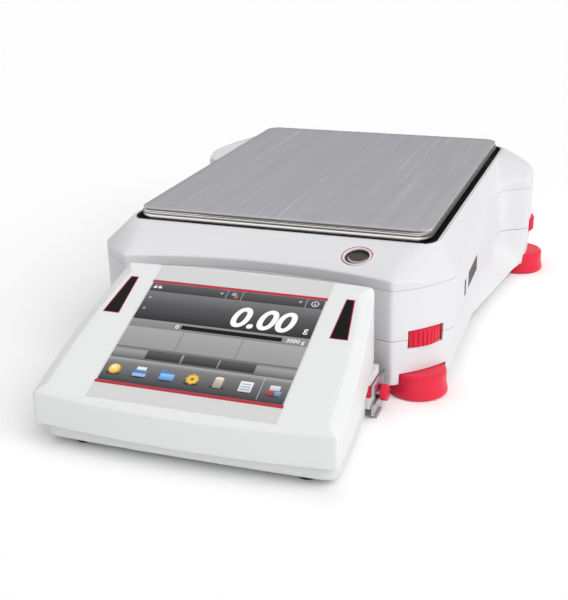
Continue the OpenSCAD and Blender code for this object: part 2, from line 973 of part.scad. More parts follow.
module terminal_top_shell() color(warm_white) placed() {
    top_front = top_face_z(term_front_y);
    top_rear = top_face_z(term_rear_y);
    difference() {
        terminal_block(0, part_front_z, part_rear_z, top_front, top_rear);
        terminal_block(term_wall, -10, -10, top_front - term_wall - 1, top_rear - term_wall - 1);
        terminal_plug_block(seat_gap, term_rear_y + through);
        on_terminal() {
            translate([-screen_w / 2, -term_lip + 1, -overlay_t])
                cube([screen_w, term_len + term_lip - 2.5, 10]);
            translate([-view_w / 2, screen_end, -10])
                cube([view_w, view_l, 20]);
            both_sides()
                translate([0, 0, -1.2])
                    linear_extrude(10)
                        sensor_outline(seat_gap);
        }
    }
}

module terminal_bottom_shell() color(warm_white) placed() {
    difference() {
        terminal_block(bottom_inset, term_foot_h, term_foot_h, part_front_z, part_rear_z);
        terminal_block(bottom_inset + term_wall, term_foot_h + term_wall, recess_z + term_wall,
                       part_front_z + 10, part_rear_z + 10);
        translate([-term_front_w, recess_y, 0])
            cube([2 * term_front_w, nose * 2, recess_z]);
        across(2 * term_front_w)
            polygon([
                [term_front_y - keel_run, 0],
                [term_front_y + keel_run, 0],
                [term_front_y + keel_run, term_foot_h],
                [term_front_y - keel_run, part_front_z]
            ]);
    }
}

module display_overlay() color(overlay_grey) placed() {
    on_terminal()
        translate([0, 0, -overlay_t])
            linear_extrude(overlay_t)
                difference() {
                    translate([-screen_w / 2 + seat_gap, -term_lip + 1 + seat_gap])
                        square([screen_w - 2 * seat_gap, term_len + term_lip - 2.5 - 2 * seat_gap]);
                    translate([-view_w / 2, screen_end])
                        square([view_w, view_l]);
                }
}

module display_glass() color(glass_blue) placed() {
    on_terminal()
        translate([seat_gap - view_w / 2, screen_end + seat_gap, -overlay_t - glass_t])
            cube([view_w - 2 * seat_gap, view_l - 2 * seat_gap, glass_t + overlay_t / 2]);
}

module display_panel() color(black) placed() {
    on_terminal()
        translate([-screen_w / 2 + 1, 1, -term_wall - 1.2 - panel_depth])
            cube([screen_w - 2, screen_l - 2, panel_depth]);
}

module sensor_window(left) color(black) placed() {
    mirror([left ? 1 : 0, 0, 0])
        on_terminal()
            translate([0, 0, -1.2])
                linear_extrude(1.2)
                    sensor_outline(0);
}

module terminal_board() color(board_green) placed() {
    on_terminal()
        translate([-term_board.x / 2, term_board_y, -term_wall - 1.2 - panel_depth - 1.7])
            cube(term_board);
}

module terminal_plug() color(black) placed()
    terminal_plug_block(0, term_rear_y - 0.3);

module terminal_feet() color(black) placed() {
    for (x = [-70, 70], y = [term_front_y + 22, recess_y - 10])
        translate([x, y, 0])
            cylinder(r = 6, h = term_foot_h);
}

module terminal_screws() color(steel) placed() {
    for (x = [-50, 50], y = [term_front_y + 30, recess_y - 12])
        translate([x, y, term_foot_h - 1.5])
            cylinder(r = 3, h = 1.5);
}

// Cleat under the terminal's rear that the clamp screws into
module dock_cleat(left) color(red) placed() {
    mirror([left ? 1 : 0, 0, 0])
        difference() {
            translate([ear_x - move_gap - cleat_w, ear_y0, clamp_z - 6])
                cube([cleat_w, cleat_y1 - ear_y0, recess_z - clamp_z + 6]);
            translate([ear_x - cleat_w - 2, clamp_y, clamp_z])
                rotate([0, 90, 0])
                    cylinder(r = clamp_r + run_gap, h = cleat_w + 4);
        }
}

module clamp_knob(left) color(red) placed() {
    mirror([left ? 1 : 0, 0, 0])
        translate([ear_x + bracket_t + move_gap, clamp_y, clamp_z])
            rotate([0, 90, 0])
                difference() {
                    linear_extrude(knob_l)
                        polygon([for (i = [0 : 23])
                            (i % 2 == 0 ? knob_r : knob_r - 0.6) * [cos(15 * i), sin(15 * i)]]);
                    translate([0, 0, -through])
                        cylinder(r = clamp_r + 0.02, h = knob_l - 1 + through);
                }
}

module clamp_stud(left) color(steel) placed() {
    mirror([left ? 1 : 0, 0, 0])
        translate([ear_x - cleat_w, clamp_y, clamp_z])
            rotate([0, 90, 0])
                cylinder(r = clamp_r, h = cleat_w + bracket_t + move_gap + knob_l - 1);
}

lower_housing();
upper_housing();
top_cover();
rear_panel();
power_jack();
serial_port();
usb_port();
chassis_plate();
weigh_cell();
cell_post();
main_board();
board_pillars();
level_cup();
level_vial();
level_ring();
latch_plugs();
housing_screws();
hook_plug();
terminal_socket();
dock_bracket();
bracket_pads();
bracket_screws();
pan_spider();
pan_buffers();
weighing_pan();
level_wheel(false, true);  // level_wheel_front_left
level_wheel(false, false);  // level_wheel_front_right
level_wheel(true, true);  // level_wheel_rear_left
level_wheel(true, false);  // level_wheel_rear_right
foot(false, true);  // foot_front_left
foot(false, false);  // foot_front_right
foot(true, true);  // foot_rear_left
foot(true, false);  // foot_rear_right
foot_stud(false, true);  // foot_stud_front_left
foot_stud(false, false);  // foot_stud_front_right
foot_stud(true, true);  // foot_stud_rear_left
foot_stud(true, false);  // foot_stud_rear_right
terminal_top_shell();
terminal_bottom_shell();
display_overlay();
display_glass();
display_panel();
sensor_window(true);  // sensor_window_left
sensor_window(false);  // sensor_window_right
terminal_board();
terminal_plug();
terminal_feet();
terminal_screws();
dock_cleat(true);  // dock_cleat_left
dock_cleat(false);  // dock_cleat_right
clamp_knob(true);  // clamp_knob_left
clamp_knob(false);  // clamp_knob_right
clamp_stud(true);  // clamp_stud_left
clamp_stud(false);  // clamp_stud_right
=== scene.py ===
import math

import bmesh
import bpy
import numpy as np
from bpy.props import FloatProperty, FloatVectorProperty, IntProperty, PointerProperty
from mathutils import Matrix, Vector


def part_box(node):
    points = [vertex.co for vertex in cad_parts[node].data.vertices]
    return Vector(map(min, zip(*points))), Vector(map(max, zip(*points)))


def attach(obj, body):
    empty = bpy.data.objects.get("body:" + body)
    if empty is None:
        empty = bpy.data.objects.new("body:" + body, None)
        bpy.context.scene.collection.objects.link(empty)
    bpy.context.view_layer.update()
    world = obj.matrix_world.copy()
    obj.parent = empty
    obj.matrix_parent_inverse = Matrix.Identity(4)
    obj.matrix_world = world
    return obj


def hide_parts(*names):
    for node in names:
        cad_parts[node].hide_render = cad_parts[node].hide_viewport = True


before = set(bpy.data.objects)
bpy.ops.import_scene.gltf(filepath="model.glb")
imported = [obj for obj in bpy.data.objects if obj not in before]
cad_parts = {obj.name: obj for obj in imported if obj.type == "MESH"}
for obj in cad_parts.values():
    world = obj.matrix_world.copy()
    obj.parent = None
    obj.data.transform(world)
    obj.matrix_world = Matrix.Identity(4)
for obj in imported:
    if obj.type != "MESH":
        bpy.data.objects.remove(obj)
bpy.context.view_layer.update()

bl_info = {
    "name": "Laboratory Balance",
    "version": (1, 0, 0),
    "blender": (4, 5, 0),
    "location": "View3D > Sidebar > Balance",
    "description": "Dresses the frame of a top-loading balance with moulded shells, steel pan and display",
    "category": "Object",
}

# Shapes are worked out in millimetres, with y = 0 at the pan's front edge
MM = 0.001
PAN_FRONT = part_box("weighing_pan")[0].y / MM


def box_mm(node):
    """Lowest and highest corner of a CAD node in millimetres, with y counted from the pan's front edge."""
    shift = np.array([0.0, PAN_FRONT, 0.0])
    low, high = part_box(node)
    return np.array(low) / MM - shift, np.array(high) / MM - shift


def centre_mm(node):
    """Middle of a CAD node's box in millimetres."""
    low, high = box_mm(node)
    return (low + high) / 2


# Sizes read off the frame
PAN_LOW, PAN_HIGH = box_mm("weighing_pan")
COVER_LOW, COVER_HIGH = box_mm("top_cover")
SEAM_LOW = box_mm("upper_housing")[0][2]
SKIRT_Z = box_mm("lower_housing")[0][2]
TERM_LOW, TERM_HIGH = box_mm("terminal_top_shell")
SEAM_HIGH, DECK_Z = COVER_LOW[2], COVER_HIGH[2]
LEG_W, NOSE, BODY_BACK = 2 * COVER_HIGH[0], -COVER_LOW[1], COVER_HIGH[1]
PAN_W, PAN_D, PAN_TOP = PAN_HIGH[0] - PAN_LOW[0], PAN_HIGH[1] - PAN_LOW[1], PAN_HIGH[2]
FOOT_H = box_mm("foot_rear_right")[1][2]
WHEEL_H = np.ptp([corner[2] for corner in box_mm("level_wheel_rear_right")])

# Housing
BODY_W, WAIST_W, FACE_W, FACE_DIP = 247.0, 237.0, 182.0, 13.0
CORNER_RUN, CORNER_BOW, SIDE_BEND = 37.0, 3.5, 1.4
CORNER_Y = CORNER_RUN - NOSE
LEG_ROUND, LEG_LEAD, LEG_FLARE, ROOT_R, EDGE_R = 61.0, 12.0, 12.0, 18.0, 5.0
LEG_MID = np.array([LEG_W / 2 - LEG_ROUND, BODY_BACK - LEG_ROUND])
LEG_FRONT = LEG_MID + (math.sqrt(LEG_ROUND ** 2 - LEG_LEAD ** 2), -LEG_LEAD)
LEG_ROOT = np.array([WAIST_W / 2, LEG_FRONT[1] - LEG_FLARE])
LEG_FACE = (LEG_FRONT - LEG_ROOT) / np.linalg.norm(LEG_FRONT - LEG_ROOT)
WAIST_Y = LEG_ROOT[1] - ROOT_R
BROW_Z, SIDE_EDGE_Z, LEG_EDGE_Z, REAR_EDGE_Z = 80.5, 76.0, 81.0, 84.5
LEG_SLOPE, CROWN = 40.0, 1.08
WALL, FLOOR_Z, BELLY_Z = 3.0, 25.0, 22.0
BELLY_X, BELLY_Y, BELLY_R = 112.5, (3.0, 192.0), 12.0
BELLY_EDGE, BELLY_FILLET, SKIRT_EDGE, TOP_SEAM = 0.8, 1.5, 1.2, 0.05
FLARE_Y, FLARE_H, FLARE_SHY = 88.0, 24.0, 2.5
# Rounding of the cover's shoulder in front and what it gains at the legs
SHOULDER_R, SHOULDER_GAIN = 1.3, 2.6
SLOTS, SLOT_DEEP = ((28.0, 34.0), (45.0, 84.0)), 1.6
PAN_GAP, WELL_CORNER, WELL_Z, WELL_LIP = 3.5, 11.0, 80.0, 2.0
# Offset from the well's wall and height over its floor
WELL_FILLET = ((0.0, 1.5), (-0.5, 0.4), (-1.6, 0.0))
POST_HOLE_R, HOOK_R = 15.0, 12.05
WHEEL_R, WHEEL_EDGE, RIB_GAIN, RIB_STEPS = 18.0, 1.4, 1.4, 12
WINDOW_W, WINDOW_REACH, PLAY, REAR_TURN = 27.0, 2.2 * WHEEL_R, 0.5, math.radians(8.0)
FLANGE_R, FOOT_OUT, FOOT_TRAVEL, STUD_R = 19.0, 8.0, 5.0, 4.25
RIM_H, PAN_SHEET, PAN_CORNER = 8.0, 1.2, 11.0
VIAL_X, VIAL_Y, VIAL_R, RING_R = 62.0, -23.5, 8.0, 10.0
DECK_TILT = math.atan2(DECK_Z - BROW_Z, NOSE - PAN_GAP - WELL_LIP)
VIAL_Z = BROW_Z + (VIAL_Y + NOSE) * math.tan(DECK_TILT)

# Terminal
TILT = math.radians(21.4)
SCREEN_W, SCREEN_L, TRIM_L, TRIM_T = 116.0, 90.0, 2.5, 0.12
TERM_LIP, TERM_BROW = 12.5, 16.0
TERM_FRONT_Y, TERM_REAR_Y = TERM_LOW[1], TERM_HIGH[1]
SCREEN_Y = TERM_REAR_Y - (SCREEN_L + TERM_BROW) * math.cos(TILT)
SCREEN_Z = 41.7
TERM_FRONT_W, TERM_REAR_W = 186.0, 166.0
TERM_BOW, TERM_SIDE_BOW, TERM_REAR_BOW = 5.0, 2.5, 2.0
PART_FRONT_Z, PART_REAR_Z = 15.0, 33.0
TERM_WALL, TERM_FOOT_H, BOTTOM_INSET = 2.5, 3.0, 3.0
RECESS_Y, RECESS_Z = -NOSE - 31.5, 28.0
KEEL_Z, KEEL_RUN = 10.0, 15.0
OVERLAY_T, OVERLAY_FRONT, OVERLAY_REAR = 0.8, 1.0, 1.5
HOOD_FOLD, TRAY_FOLD = 1.5, 6.0
# Corners of the right sensor window on the top face, and the way that each goes when the window grows
SENSOR = np.array([(68.3, 57.4), (78.4, 57.4), (73.7, 90.4), (69.3, 90.4)])
SENSOR_GROW, SENSOR_RIM = np.array([(-1.0, -1.0), (1.3, -1.0), (1.3, 1.0), (-1.0, 1.0)]), 0.45
# Clamp knobs: flutes, their depth, the edge's rounding and the CAD knob's radius over the fluted one's
FLUTES, FLUTE_DEPTH, KNOB_EDGE, KNOB_REACH = 14, 0.05, 0.8, 1.12
# Width and fall of the top's bevel at the front and at the rear
FRONT_BEVEL, REAR_BEVEL = (3.0, 1.5), (0.6, 0.3)

# Stage: camera from the pan's front edge in metres, turns of the two suns and their spread in degrees
CAMERA_AT = (0.2378, -0.6411, 0.3095)
KEY_TURN, TOP_TURN, SUN_SPREAD = (50.0, 0.0, 60.0), (14.0, 0.0, 200.0), 60.0
# Reflected sky: height of its horizon's end and its level at the horizon
SKY_RISE, SKY_LOW = 0.45, 0.12
# Floor: half its width and how far it lies under the feet
FLOOR_REACH, FLOOR_DROP = 6.0, 0.0002

WHEELS = ("front_left", "front_right", "rear_left", "rear_right")


class Sock:
    """A shader socket whose arithmetic adds Math nodes to its graph."""

    def __init__(self, graph, socket):
        self.graph, self.socket = graph, socket

    def math(self, operation, *values):
        return self.graph.node("Math", {"operation": operation}, dict(enumerate(values)))

    def __add__(self, other):
        return self.math("ADD", self, other)

    def __sub__(self, other):
        return self.math("SUBTRACT", self, other)

    def __rsub__(self, other):
        return self.math("SUBTRACT", other, self)

    def __mul__(self, other):
        return self.math("MULTIPLY", self, other)

    def __truediv__(self, other):
        return self.math("DIVIDE", self, other)

    def __rtruediv__(self, other):
        return self.math("DIVIDE", other, self)

    def __gt__(self, other):
        return self.math("GREATER_THAN", self, other)

    def __lt__(self, other):
        return self.math("LESS_THAN", self, other)

    def __abs__(self):
        return self.math("ABSOLUTE", self)

    __radd__ = __add__
    __rmul__ = __mul__


class Graph:
    """The node tree of a material or world; node() adds any shader node and returns one of its outputs."""

    def __init__(self, name, owners="materials"):
        self.owner = getattr(bpy.data, owners).new(name)
        self.owner.use_nodes = True
        self.tree = self.owner.node_tree
        self.tree.nodes.clear()

    def node(self, kind, settings=None, inputs=None, output=0):
        made = self.tree.nodes.new("ShaderNode" + kind)
        for key, value in (settings or {}).items():
            if key == "stops":
                self.set_stops(made.color_ramp.elements, value)
            else:
                setattr(made, key, value)
        for key, value in (inputs or {}).items():
            if isinstance(value, Sock):
                self.tree.links.new(value.socket, made.inputs[key])
            else:
                made.inputs[key].default_value = value
        return Sock(self, made.outputs[output]) if made.outputs else None

    @staticmethod
    def set_stops(elements, stops):
        """Gives a ramp its (position, grey) stops."""
        for index, (position, grey) in enumerate(stops):
            element = elements[index] if index < len(elements) else elements.new(position)
            element.position, element.color = position, (grey, grey, grey, 1.0)

    def ramp(self, factor, *stops):
        """Grey ramp over a factor, from (position, grey) stops."""
        return self.node("ValToRGB", {"stops": stops}, {0: factor})

    def place(self, scale=(1.0, 1.0, 1.0)):
        """Object coordinates, stretched by scale."""
        coords = self.node("TexCoord", output=3)
        return self.node("Mapping", None, {0: coords, 3: scale})

    def axis(self, index):
        """One of the object's own coordinates: 0 across, 1 along, 2 up."""
        return self.node("SeparateXYZ", None, {0: self.place()}, index)

    def vector(self, operation, inputs, output=0):
        """Vector Math node."""
        return self.node("VectorMath", {"operation": operation}, inputs, output)

    def mix(self, factor, first, second):
        """Colour between two."""
        return self.node("Mix", {"data_type": "RGBA"}, {0: factor, 6: rgba(first), 7: rgba(second)}, 2)

    def relief(self, strength, distance, height, bevel=None):
        """Normal with a fine relief, over edges softened by bevel metres where given."""
        inputs = {"Strength": strength, "Distance": distance, "Height": height}
        if bevel:
            inputs["Normal"] = self.node("Bevel", {"samples": 4}, {"Radius": bevel})
        return self.node("Bump", None, inputs)

    def noise(self, scale, stretch=(1.0, 1.0, 1.0), detail=3.0):
        """Fractal noise of the object's own coordinates."""
        inputs = {"Vector": self.place(stretch), "Scale": scale, "Detail": detail}
        return self.node("TexNoise", None, inputs)

    def shade(self, **inputs):
        """Closes the graph with a Principled surface; names are given with underscores."""
        named = {key.replace("_", " "): value for key, value in inputs.items()}
        return self.close("OutputMaterial", self.node("BsdfPrincipled", None, named))

    def close(self, kind, surface):
        """Ends the graph in its output node and gives its material or world."""
        self.node(kind, None, {"Surface": surface})
        return self.owner


def rgba(colour):
    """A colour of three parts with full alpha."""
    return (*colour[:3], 1.0)


def plastic(name, colour, roughness=0.4, grain=0.03, bevel=0.0004, shine=0.4, second=None, mask=None):
    """Moulded plastic: a fine grain in the normal, edges softened by bevel metres and a slightly uneven sheen.

    A second colour covers it where the function mask gives 1.
    """
    g = Graph(name)
    base = g.mix(mask(g), colour, second) if mask else rgba(colour)
    return g.shade(Base_Color=base, Roughness=roughness + (g.noise(60.0) - 0.5) * 0.06,
                   Normal=g.relief(grain, 0.0002, g.noise(2500.0), bevel), Specular_IOR_Level=shine)


def metal(name, colour, roughness=0.3, stretch=(1.0, 1.0, 1.0), scale=300.0):
    """Bare metal with streaks along the axis that stretch makes long: they vary its tint, sheen and normal."""
    g = Graph(name)
    streak = g.noise(scale, stretch, 5.0)
    base = g.vector("SCALE", {0: colour, 3: 0.88 + streak * 0.18 + g.noise(9.0) * 0.06})
    return g.shade(Base_Color=base, Roughness=roughness + (streak - 0.5) * 0.2, Metallic=1.0,
                   Normal=g.relief(0.06, 0.0001, streak, 0.0003))


def brushed(name, colour, roughness=0.3, polish=0.12):
    """Steel sheet brushed along y: fine and broad streaks across x vary its tint, sheen and normal.

    Below the plate the rim is polished without streaks and carries painted reflections: painted dark lines at its two
    grooves, painted highlights on its beads, and along both flanks a painted highlight line over painted shade.
    """
    g = Graph(name)
    height = g.axis(2)
    painted_flank_mask = g.node("MapRange", None, {0: abs(g.axis(0)), 1: (PAN_W / 2 - 7.0) * MM, 2: (PAN_W / 2 - 1.0) * MM})
    plate = height > (PAN_TOP - 0.12) * MM
    down = (PAN_TOP * MM - height) / (RIM_H * MM)
    # Painted reflections down the rim at front and rear: dark lines at the grooves, bright bands on the beads
    beads = g.ramp(down, (0.0, 0.40), (0.06, 0.18), (0.18, 0.10), (0.22, 0.95), (0.44, 0.85), (0.48, 0.25),
                   (0.52, 0.25), (0.56, 1.0), (0.86, 0.85), (0.95, 0.12))
    # Painted reflection on the flanks: a bright line under the plate, then painted shade
    shaded = g.ramp(down, (0.0, 1.0), (0.17, 1.0), (0.26, 0.25), (0.60, 0.18), (0.95, 0.08))
    rim = painted_flank_mask * shaded + (1.0 - painted_flank_mask) * beads
    fine = g.noise(14.0, (90.0, 0.7, 90.0), 4.0)
    broad = g.noise(9.0, (14.0, 0.35, 14.0), 2.0)
    line = g.noise(11.0, (34.0, 0.5, 34.0), 1.0) > 0.665
    # Below the plate the tint is the rim's painted reflection, raised by 1.9
    tint = plate * (0.80 + fine * 0.20 + broad * 0.22 + line * 0.15) + (1.0 - plate) * rim * 1.9
    warm = (colour[0] * 1.02, colour[1] * 0.99, colour[2] * 0.90)
    base = g.vector("SCALE", {0: g.mix(plate, warm, colour), 3: tint})
    return g.shade(Base_Color=base, Roughness=polish + plate * (roughness - polish + (fine - 0.5) * 0.2),
                   Metallic=1.0, Normal=g.relief(0.06, 0.0001, fine * plate))


def glossy(name, colour, roughness=0.08, shine=0.3):
    """Smooth dark window or glass with a faint unevenness in its sheen."""
    g = Graph(name)
    return g.shade(Base_Color=rgba(colour), Roughness=roughness + g.noise(40.0) * 0.03, Specular_IOR_Level=shine)


def well_shade_mask(g):
    """1 where the pan's well is painted dark as shade under the pan, apart from its front wall.

    The well is where the distance of (|x| - a, |y| - b), each at least 0, from the origin is under the corner's radius.
    """
    half = [(size / 2 + PAN_GAP - WELL_CORNER) * MM for size in (PAN_W, PAN_D)]
    off = g.vector("SUBTRACT", {0: g.place((1.0, 1.0, 0.0)), 1: (0.0, (PAN_FRONT + PAN_D / 2) * MM, 0.0)})
    off = g.vector("SUBTRACT", {0: g.vector("ABSOLUTE", {0: off}), 1: (*half, 0.0)})
    reach = g.vector("LENGTH", {0: g.vector("MAXIMUM", {0: off, 1: (0.0, 0.0, 0.0)})}, 1)
    return (reach < (WELL_CORNER + 0.2) * MM) * (g.axis(1) > (PAN_FRONT - PAN_GAP + 0.8) * MM)


def bubble(name, painted_shade, edge):
    """Level vial: a disc of painted shade for the dark recess, with a painted highlight as the light edge of its
    bubble, inside one circle and outside a shifted one.
    """
    g = Graph(name)
    x, y, _ = centre_mm("level_vial")

    def near(shift):
        point = (x * MM, (y + PAN_FRONT + shift) * MM, 0.0)
        return g.vector("DISTANCE", {0: g.place((1.0, 1.0, 0.0)), 1: point}, 1) < 0.76 * VIAL_R * MM

    base = g.mix(near(0.0) * (1.0 - near(1.5)), painted_shade, edge)
    return g.shade(Base_Color=base, Roughness=0.12 + g.noise(40.0) * 0.03, Specular_IOR_Level=0.2)


def smoothstep(low, high, value):
    """0 to 1 between low and high along 3t^2 - 2t^3."""
    t = np.clip((value - low) / (high - low), 0.0, 1.0)
    return t * t * (3.0 - 2.0 * t)


def resample(points, count):
    """A closed outline at equal steps of its length, by linear interpolation over the summed chords."""
    closed = np.vstack([points, points[:1]])
    run = np.concatenate([[0.0], np.cumsum(np.linalg.norm(np.diff(closed, axis=0), axis=1))])
    steps = np.linspace(0.0, run[-1], count, endpoint=False)
    return np.column_stack([np.interp(steps, run, closed[:, k]) for k in (0, 1)])


def eased(points, reach):
    """A closed, evenly stepped outline with its folds rounded: a Gaussian mean of the given reach along it."""
    step = np.linalg.norm(points[1] - points[0])
    half = int(3 * reach / step) + 1
    weights = np.exp(-0.5 * (np.arange(-half, half + 1) * step / reach) ** 2)
    padded = np.vstack([points[-half:], points, points[:half]])
    return np.column_stack([np.convolve(padded[:, k], weights / weights.sum(), "valid") for k in (0, 1)])


def outward(points):
    """Unit normals of a closed anticlockwise outline: the tangent (dx, dy) turned to (dy, -dx)."""
    along = np.roll(points, -1, axis=0) - np.roll(points, 1, axis=0)
    normals = np.column_stack([along[:, 1], -along[:, 0]])
    return normals / np.linalg.norm(normals, axis=1, keepdims=True)


def bezier(a, b, c, steps):
    """Quadratic Bezier curve (1-t)^2 a + 2t(1-t) b + t^2 c of points or rings at even steps of t, ends included."""
    t = np.linspace(0.0, 1.0, steps).reshape(-1, *[1] * np.ndim(a))
    return (1 - t) ** 2 * np.asarray(a) + 2 * t * (1 - t) * np.asarray(b) + t * t * np.asarray(c)


def bowed(start, end, bow, steps=80):
    """Line between two points that bulges to its right by 4 b s (1 - s) at the share s of its length."""
    s = np.linspace(0.0, 1.0, steps)
    along = end - start
    across = np.array([along[1], -along[0]]) / np.linalg.norm(along)
    return start + along * s[:, None] + across * (4 * bow * s * (1 - s))[:, None]


def both_sides(right, count, fold):
    """Closed outline from its right half and that half's mirror image, evenly stepped, its folds rounded."""
    left = right[::-1] * (-1, 1)
    return eased(resample(np.vstack([right, left[left[:, 0] < 0]]), count), fold)


def full_turn(steps):
    """Angles of a whole turn at even steps."""
    return np.linspace(0.0, 2 * math.pi, steps, endpoint=False)


def on_circle(angles):
    """Points (cos a, sin a) of the unit circle."""
    return np.column_stack([np.cos(angles), np.sin(angles)])


def spokes(plan, middle, half):
    """From the points of a rectangle that are nearest to an outline's: these points, unit directions and lengths."""
    core = middle + np.clip(plan - middle, -half, half)
    reach = np.linalg.norm(plan - core, axis=1)
    return core, (plan - core) / reach[:, None], reach


def round_hole(middle, radius, points):
    """Circle about middle, with one of its points towards each of the given ones."""
    way = points - middle
    return middle + radius * way / np.linalg.norm(way, axis=1, keepdims=True)


def quarter(radius, steps=5):
    """Rounded edge as (inset, drop) pairs, from (0, radius) on the wall to (radius, 0) on the flat."""
    turn = np.linspace(0.0, math.pi / 2, steps)
    return np.column_stack([radius * (1 - np.cos(turn)), radius * (1 - np.sin(turn))])


def stacked(points, heights):
    """One ring of 3-D points over an outline, at one height or a height for each point."""
    return np.column_stack([points, np.broadcast_to(heights, len(points))])


def grid_faces(rows, columns, wrapped):
    """Quads of a grid whose columns close on themselves, and whose rows do too when wrapped."""
    row = np.arange(rows if wrapped else rows - 1)[:, None]
    column = np.arange(columns)[None, :]
    next_row, next_column = (row + 1) % rows, (column + 1) % columns
    corners = [row * columns + column, row * columns + next_column,
               next_row * columns + next_column, next_row * columns + column]
    return np.stack(np.broadcast_arrays(*corners), axis=-1).reshape(-1, 4)


def loft(rings, wrapped=False):
    """Points and faces of a skin through rings of equal count; open ends are closed by flat caps."""
    rings = np.asarray(rings)
    rows, columns = rings.shape[:2]
    faces = grid_faces(rows, columns, wrapped).tolist()
    if not wrapped:
        faces += [list(range(columns)), list(range((rows - 1) * columns, rows * columns))]
    return rings.reshape(-1, 3), faces


def prism(outline, low, high):
    """Points and faces of a straight block over an outline."""
    return loft([stacked(outline, low), stacked(outline, high)])


def block(low, high):
    """Points and faces of a box between two corners."""
    (x0, y0, z0), (x1, y1, z1) = low, high
    return prism(np.array([(x0, y0), (x1, y0), (x1, y1), (x0, y1)]), z0, z1)


def disc(radius, steps=64):
    """Circle outline."""
    return radius * on_circle(full_turn(steps))


def merged(*solids):
    """Several solids as one list of points and faces."""
    points, faces, start = [], [], 0
    for verts, quads in solids:
        points.append(verts)
        faces += [[start + index for index in face] for face in quads]
        start += len(verts)
    return np.vstack(points), faces


def moved(solid, matrix):
    """A solid's points turned and shifted by a 4 by 4 matrix in millimetres."""
    points, faces = solid
    turned = np.array(matrix)
    return points @ turned[:3, :3].T + turned[:3, 3], faces


def mesh_from(name, solid):
    """A mesh from a solid in millimetres."""
    points, faces = solid
    mesh = bpy.data.meshes.new(name)
    mesh.from_pydata(((points + (0.0, PAN_FRONT, 0.0)) * MM).tolist(), [], faces)
    return mesh


def linked(name, data):
    """A new object of the scene."""
    made = bpy.data.objects.new(name, data)
    bpy.context.scene.collection.objects.link(made)
    return made


def baked(piece):
    """An object's mesh with its cuts or letters worked out."""
    bpy.context.view_layer.update()
    return bpy.data.meshes.new_from_object(piece.evaluated_get(bpy.context.evaluated_depsgraph_get()))


def object_from(name, solid):
    """A linked mesh object from a solid in millimetres, its faces turned outwards."""
    mesh = mesh_from(name, solid)
    work = bmesh.new()
    work.from_mesh(mesh)
    bmesh.ops.recalc_face_normals(work, faces=work.faces[:])
    work.to_mesh(mesh)
    work.free()
    return linked(name, mesh)


def carve(piece, solid):
    """Cuts a solid out of a piece and keeps the result as the piece's mesh."""
    cutter = object_from(piece.name + "_cutter", solid)
    cut = piece.modifiers.new("cut", "BOOLEAN")
    cut.operation, cut.solver, cut.object = "DIFFERENCE", "MANIFOLD", cutter
    result = baked(piece)
    piece.modifiers.clear()
    old, piece.data = piece.data, result
    bpy.data.meshes.remove(old)
    bpy.data.objects.remove(cutter)


def build(name, solid, body, material, replaced=(), cut=None, sharp=32.0):
    """Makes a piece of a solid less the one to cut, shades it smooth up to a sharp angle in degrees and paints it.

    It rides on its body and stands in for the nodes that it replaces.
    """
    piece = object_from(name, solid)
    if cut:
        carve(piece, cut)
    piece.data.shade_smooth()
    piece.data.set_sharp_from_angle(angle=math.radians(sharp))
    piece.data.materials.clear()
    piece.data.materials.append(material)
    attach(piece, body)
    if replaced:
        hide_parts(*replaced)


def dress(material, *nodes):
    """Paints CAD nodes that stay in view."""
    for node in nodes:
        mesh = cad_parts[node].data
        mesh.materials.clear()
        mesh.materials.append(material)


def side_x(y):
    """Half the housing's width from the corners to the waist: w + (b - w)((y1 - y)/(y1 - y0))^1.4."""
    share = np.clip((WAIST_Y - y) / (WAIST_Y - CORNER_Y), 0.0, 1.0)
    return WAIST_W / 2 + (BODY_W - WAIST_W) / 2 * share ** SIDE_BEND


def fillet(a, b, c, radius, steps=14):
    """Arc that rounds corner b of the path a, b, c: its middle lies r / sin(half the angle) along the bisector."""
    u, w = (a - b) / np.linalg.norm(a - b), (c - b) / np.linalg.norm(c - b)
    half = math.acos(u @ w) / 2
    middle = b + (u + w) / np.linalg.norm(u + w) * radius / math.sin(half)
    start, end = b + np.array([u, w]) * radius / math.tan(half) - middle
    first = math.atan2(start[1], start[0])
    turn = (math.atan2(end[1], end[0]) - first + math.pi) % (2 * math.pi) - math.pi
    angle = first + turn * np.linspace(0.0, 1.0, steps)
    return middle + radius * on_circle(angle)


def housing_outline(fold, count=760):
    """Plan of the housing: hollow front x^2, bowed corner faces, tapering sides, filleted legs, round rear."""
    s = np.linspace(0.0, 1.0, 80)
    face = np.column_stack([FACE_W / 2 * s, FACE_DIP * (1 - s * s) - NOSE])
    corner = bowed(np.array([FACE_W / 2, -NOSE]), np.array([BODY_W / 2, CORNER_Y]), CORNER_BOW)
    y = CORNER_Y + (WAIST_Y - CORNER_Y) * s
    side = np.column_stack([side_x(y), y])
    turn = np.linspace(0.12 - math.asin(LEG_LEAD / LEG_ROUND), math.pi / 2, 60)
    rear = LEG_MID + LEG_ROUND * on_circle(turn)
    root = fillet(np.array([LEG_ROOT[0], WAIST_Y]), LEG_ROOT, LEG_FRONT, ROOT_R)
    edge = fillet(LEG_ROOT, LEG_FRONT, rear[0], EDGE_R)
    return both_sides(np.vstack([face, corner[1:], side[1:], root, edge, rear]), count, fold)


def edge_rings(plan, height, radius, up):
    """Rings over a wall's end and round its outer edge, from the inner side out; up is 1 for a lower end, else -1."""
    normal = outward(plan)
    return [stacked(plan - normal * inset, height + up * drop)
            for inset, drop in ((WALL, 0.0), *quarter(radius)[::-1])]


def crowned(edge, share, power):
    """Height of a deck that climbs from its edge e over the share q of the way in: e + (deck - e)(1 - (1 - q)^p)."""
    return edge + (DECK_Z - edge) * (1 - (1 - share) ** power)


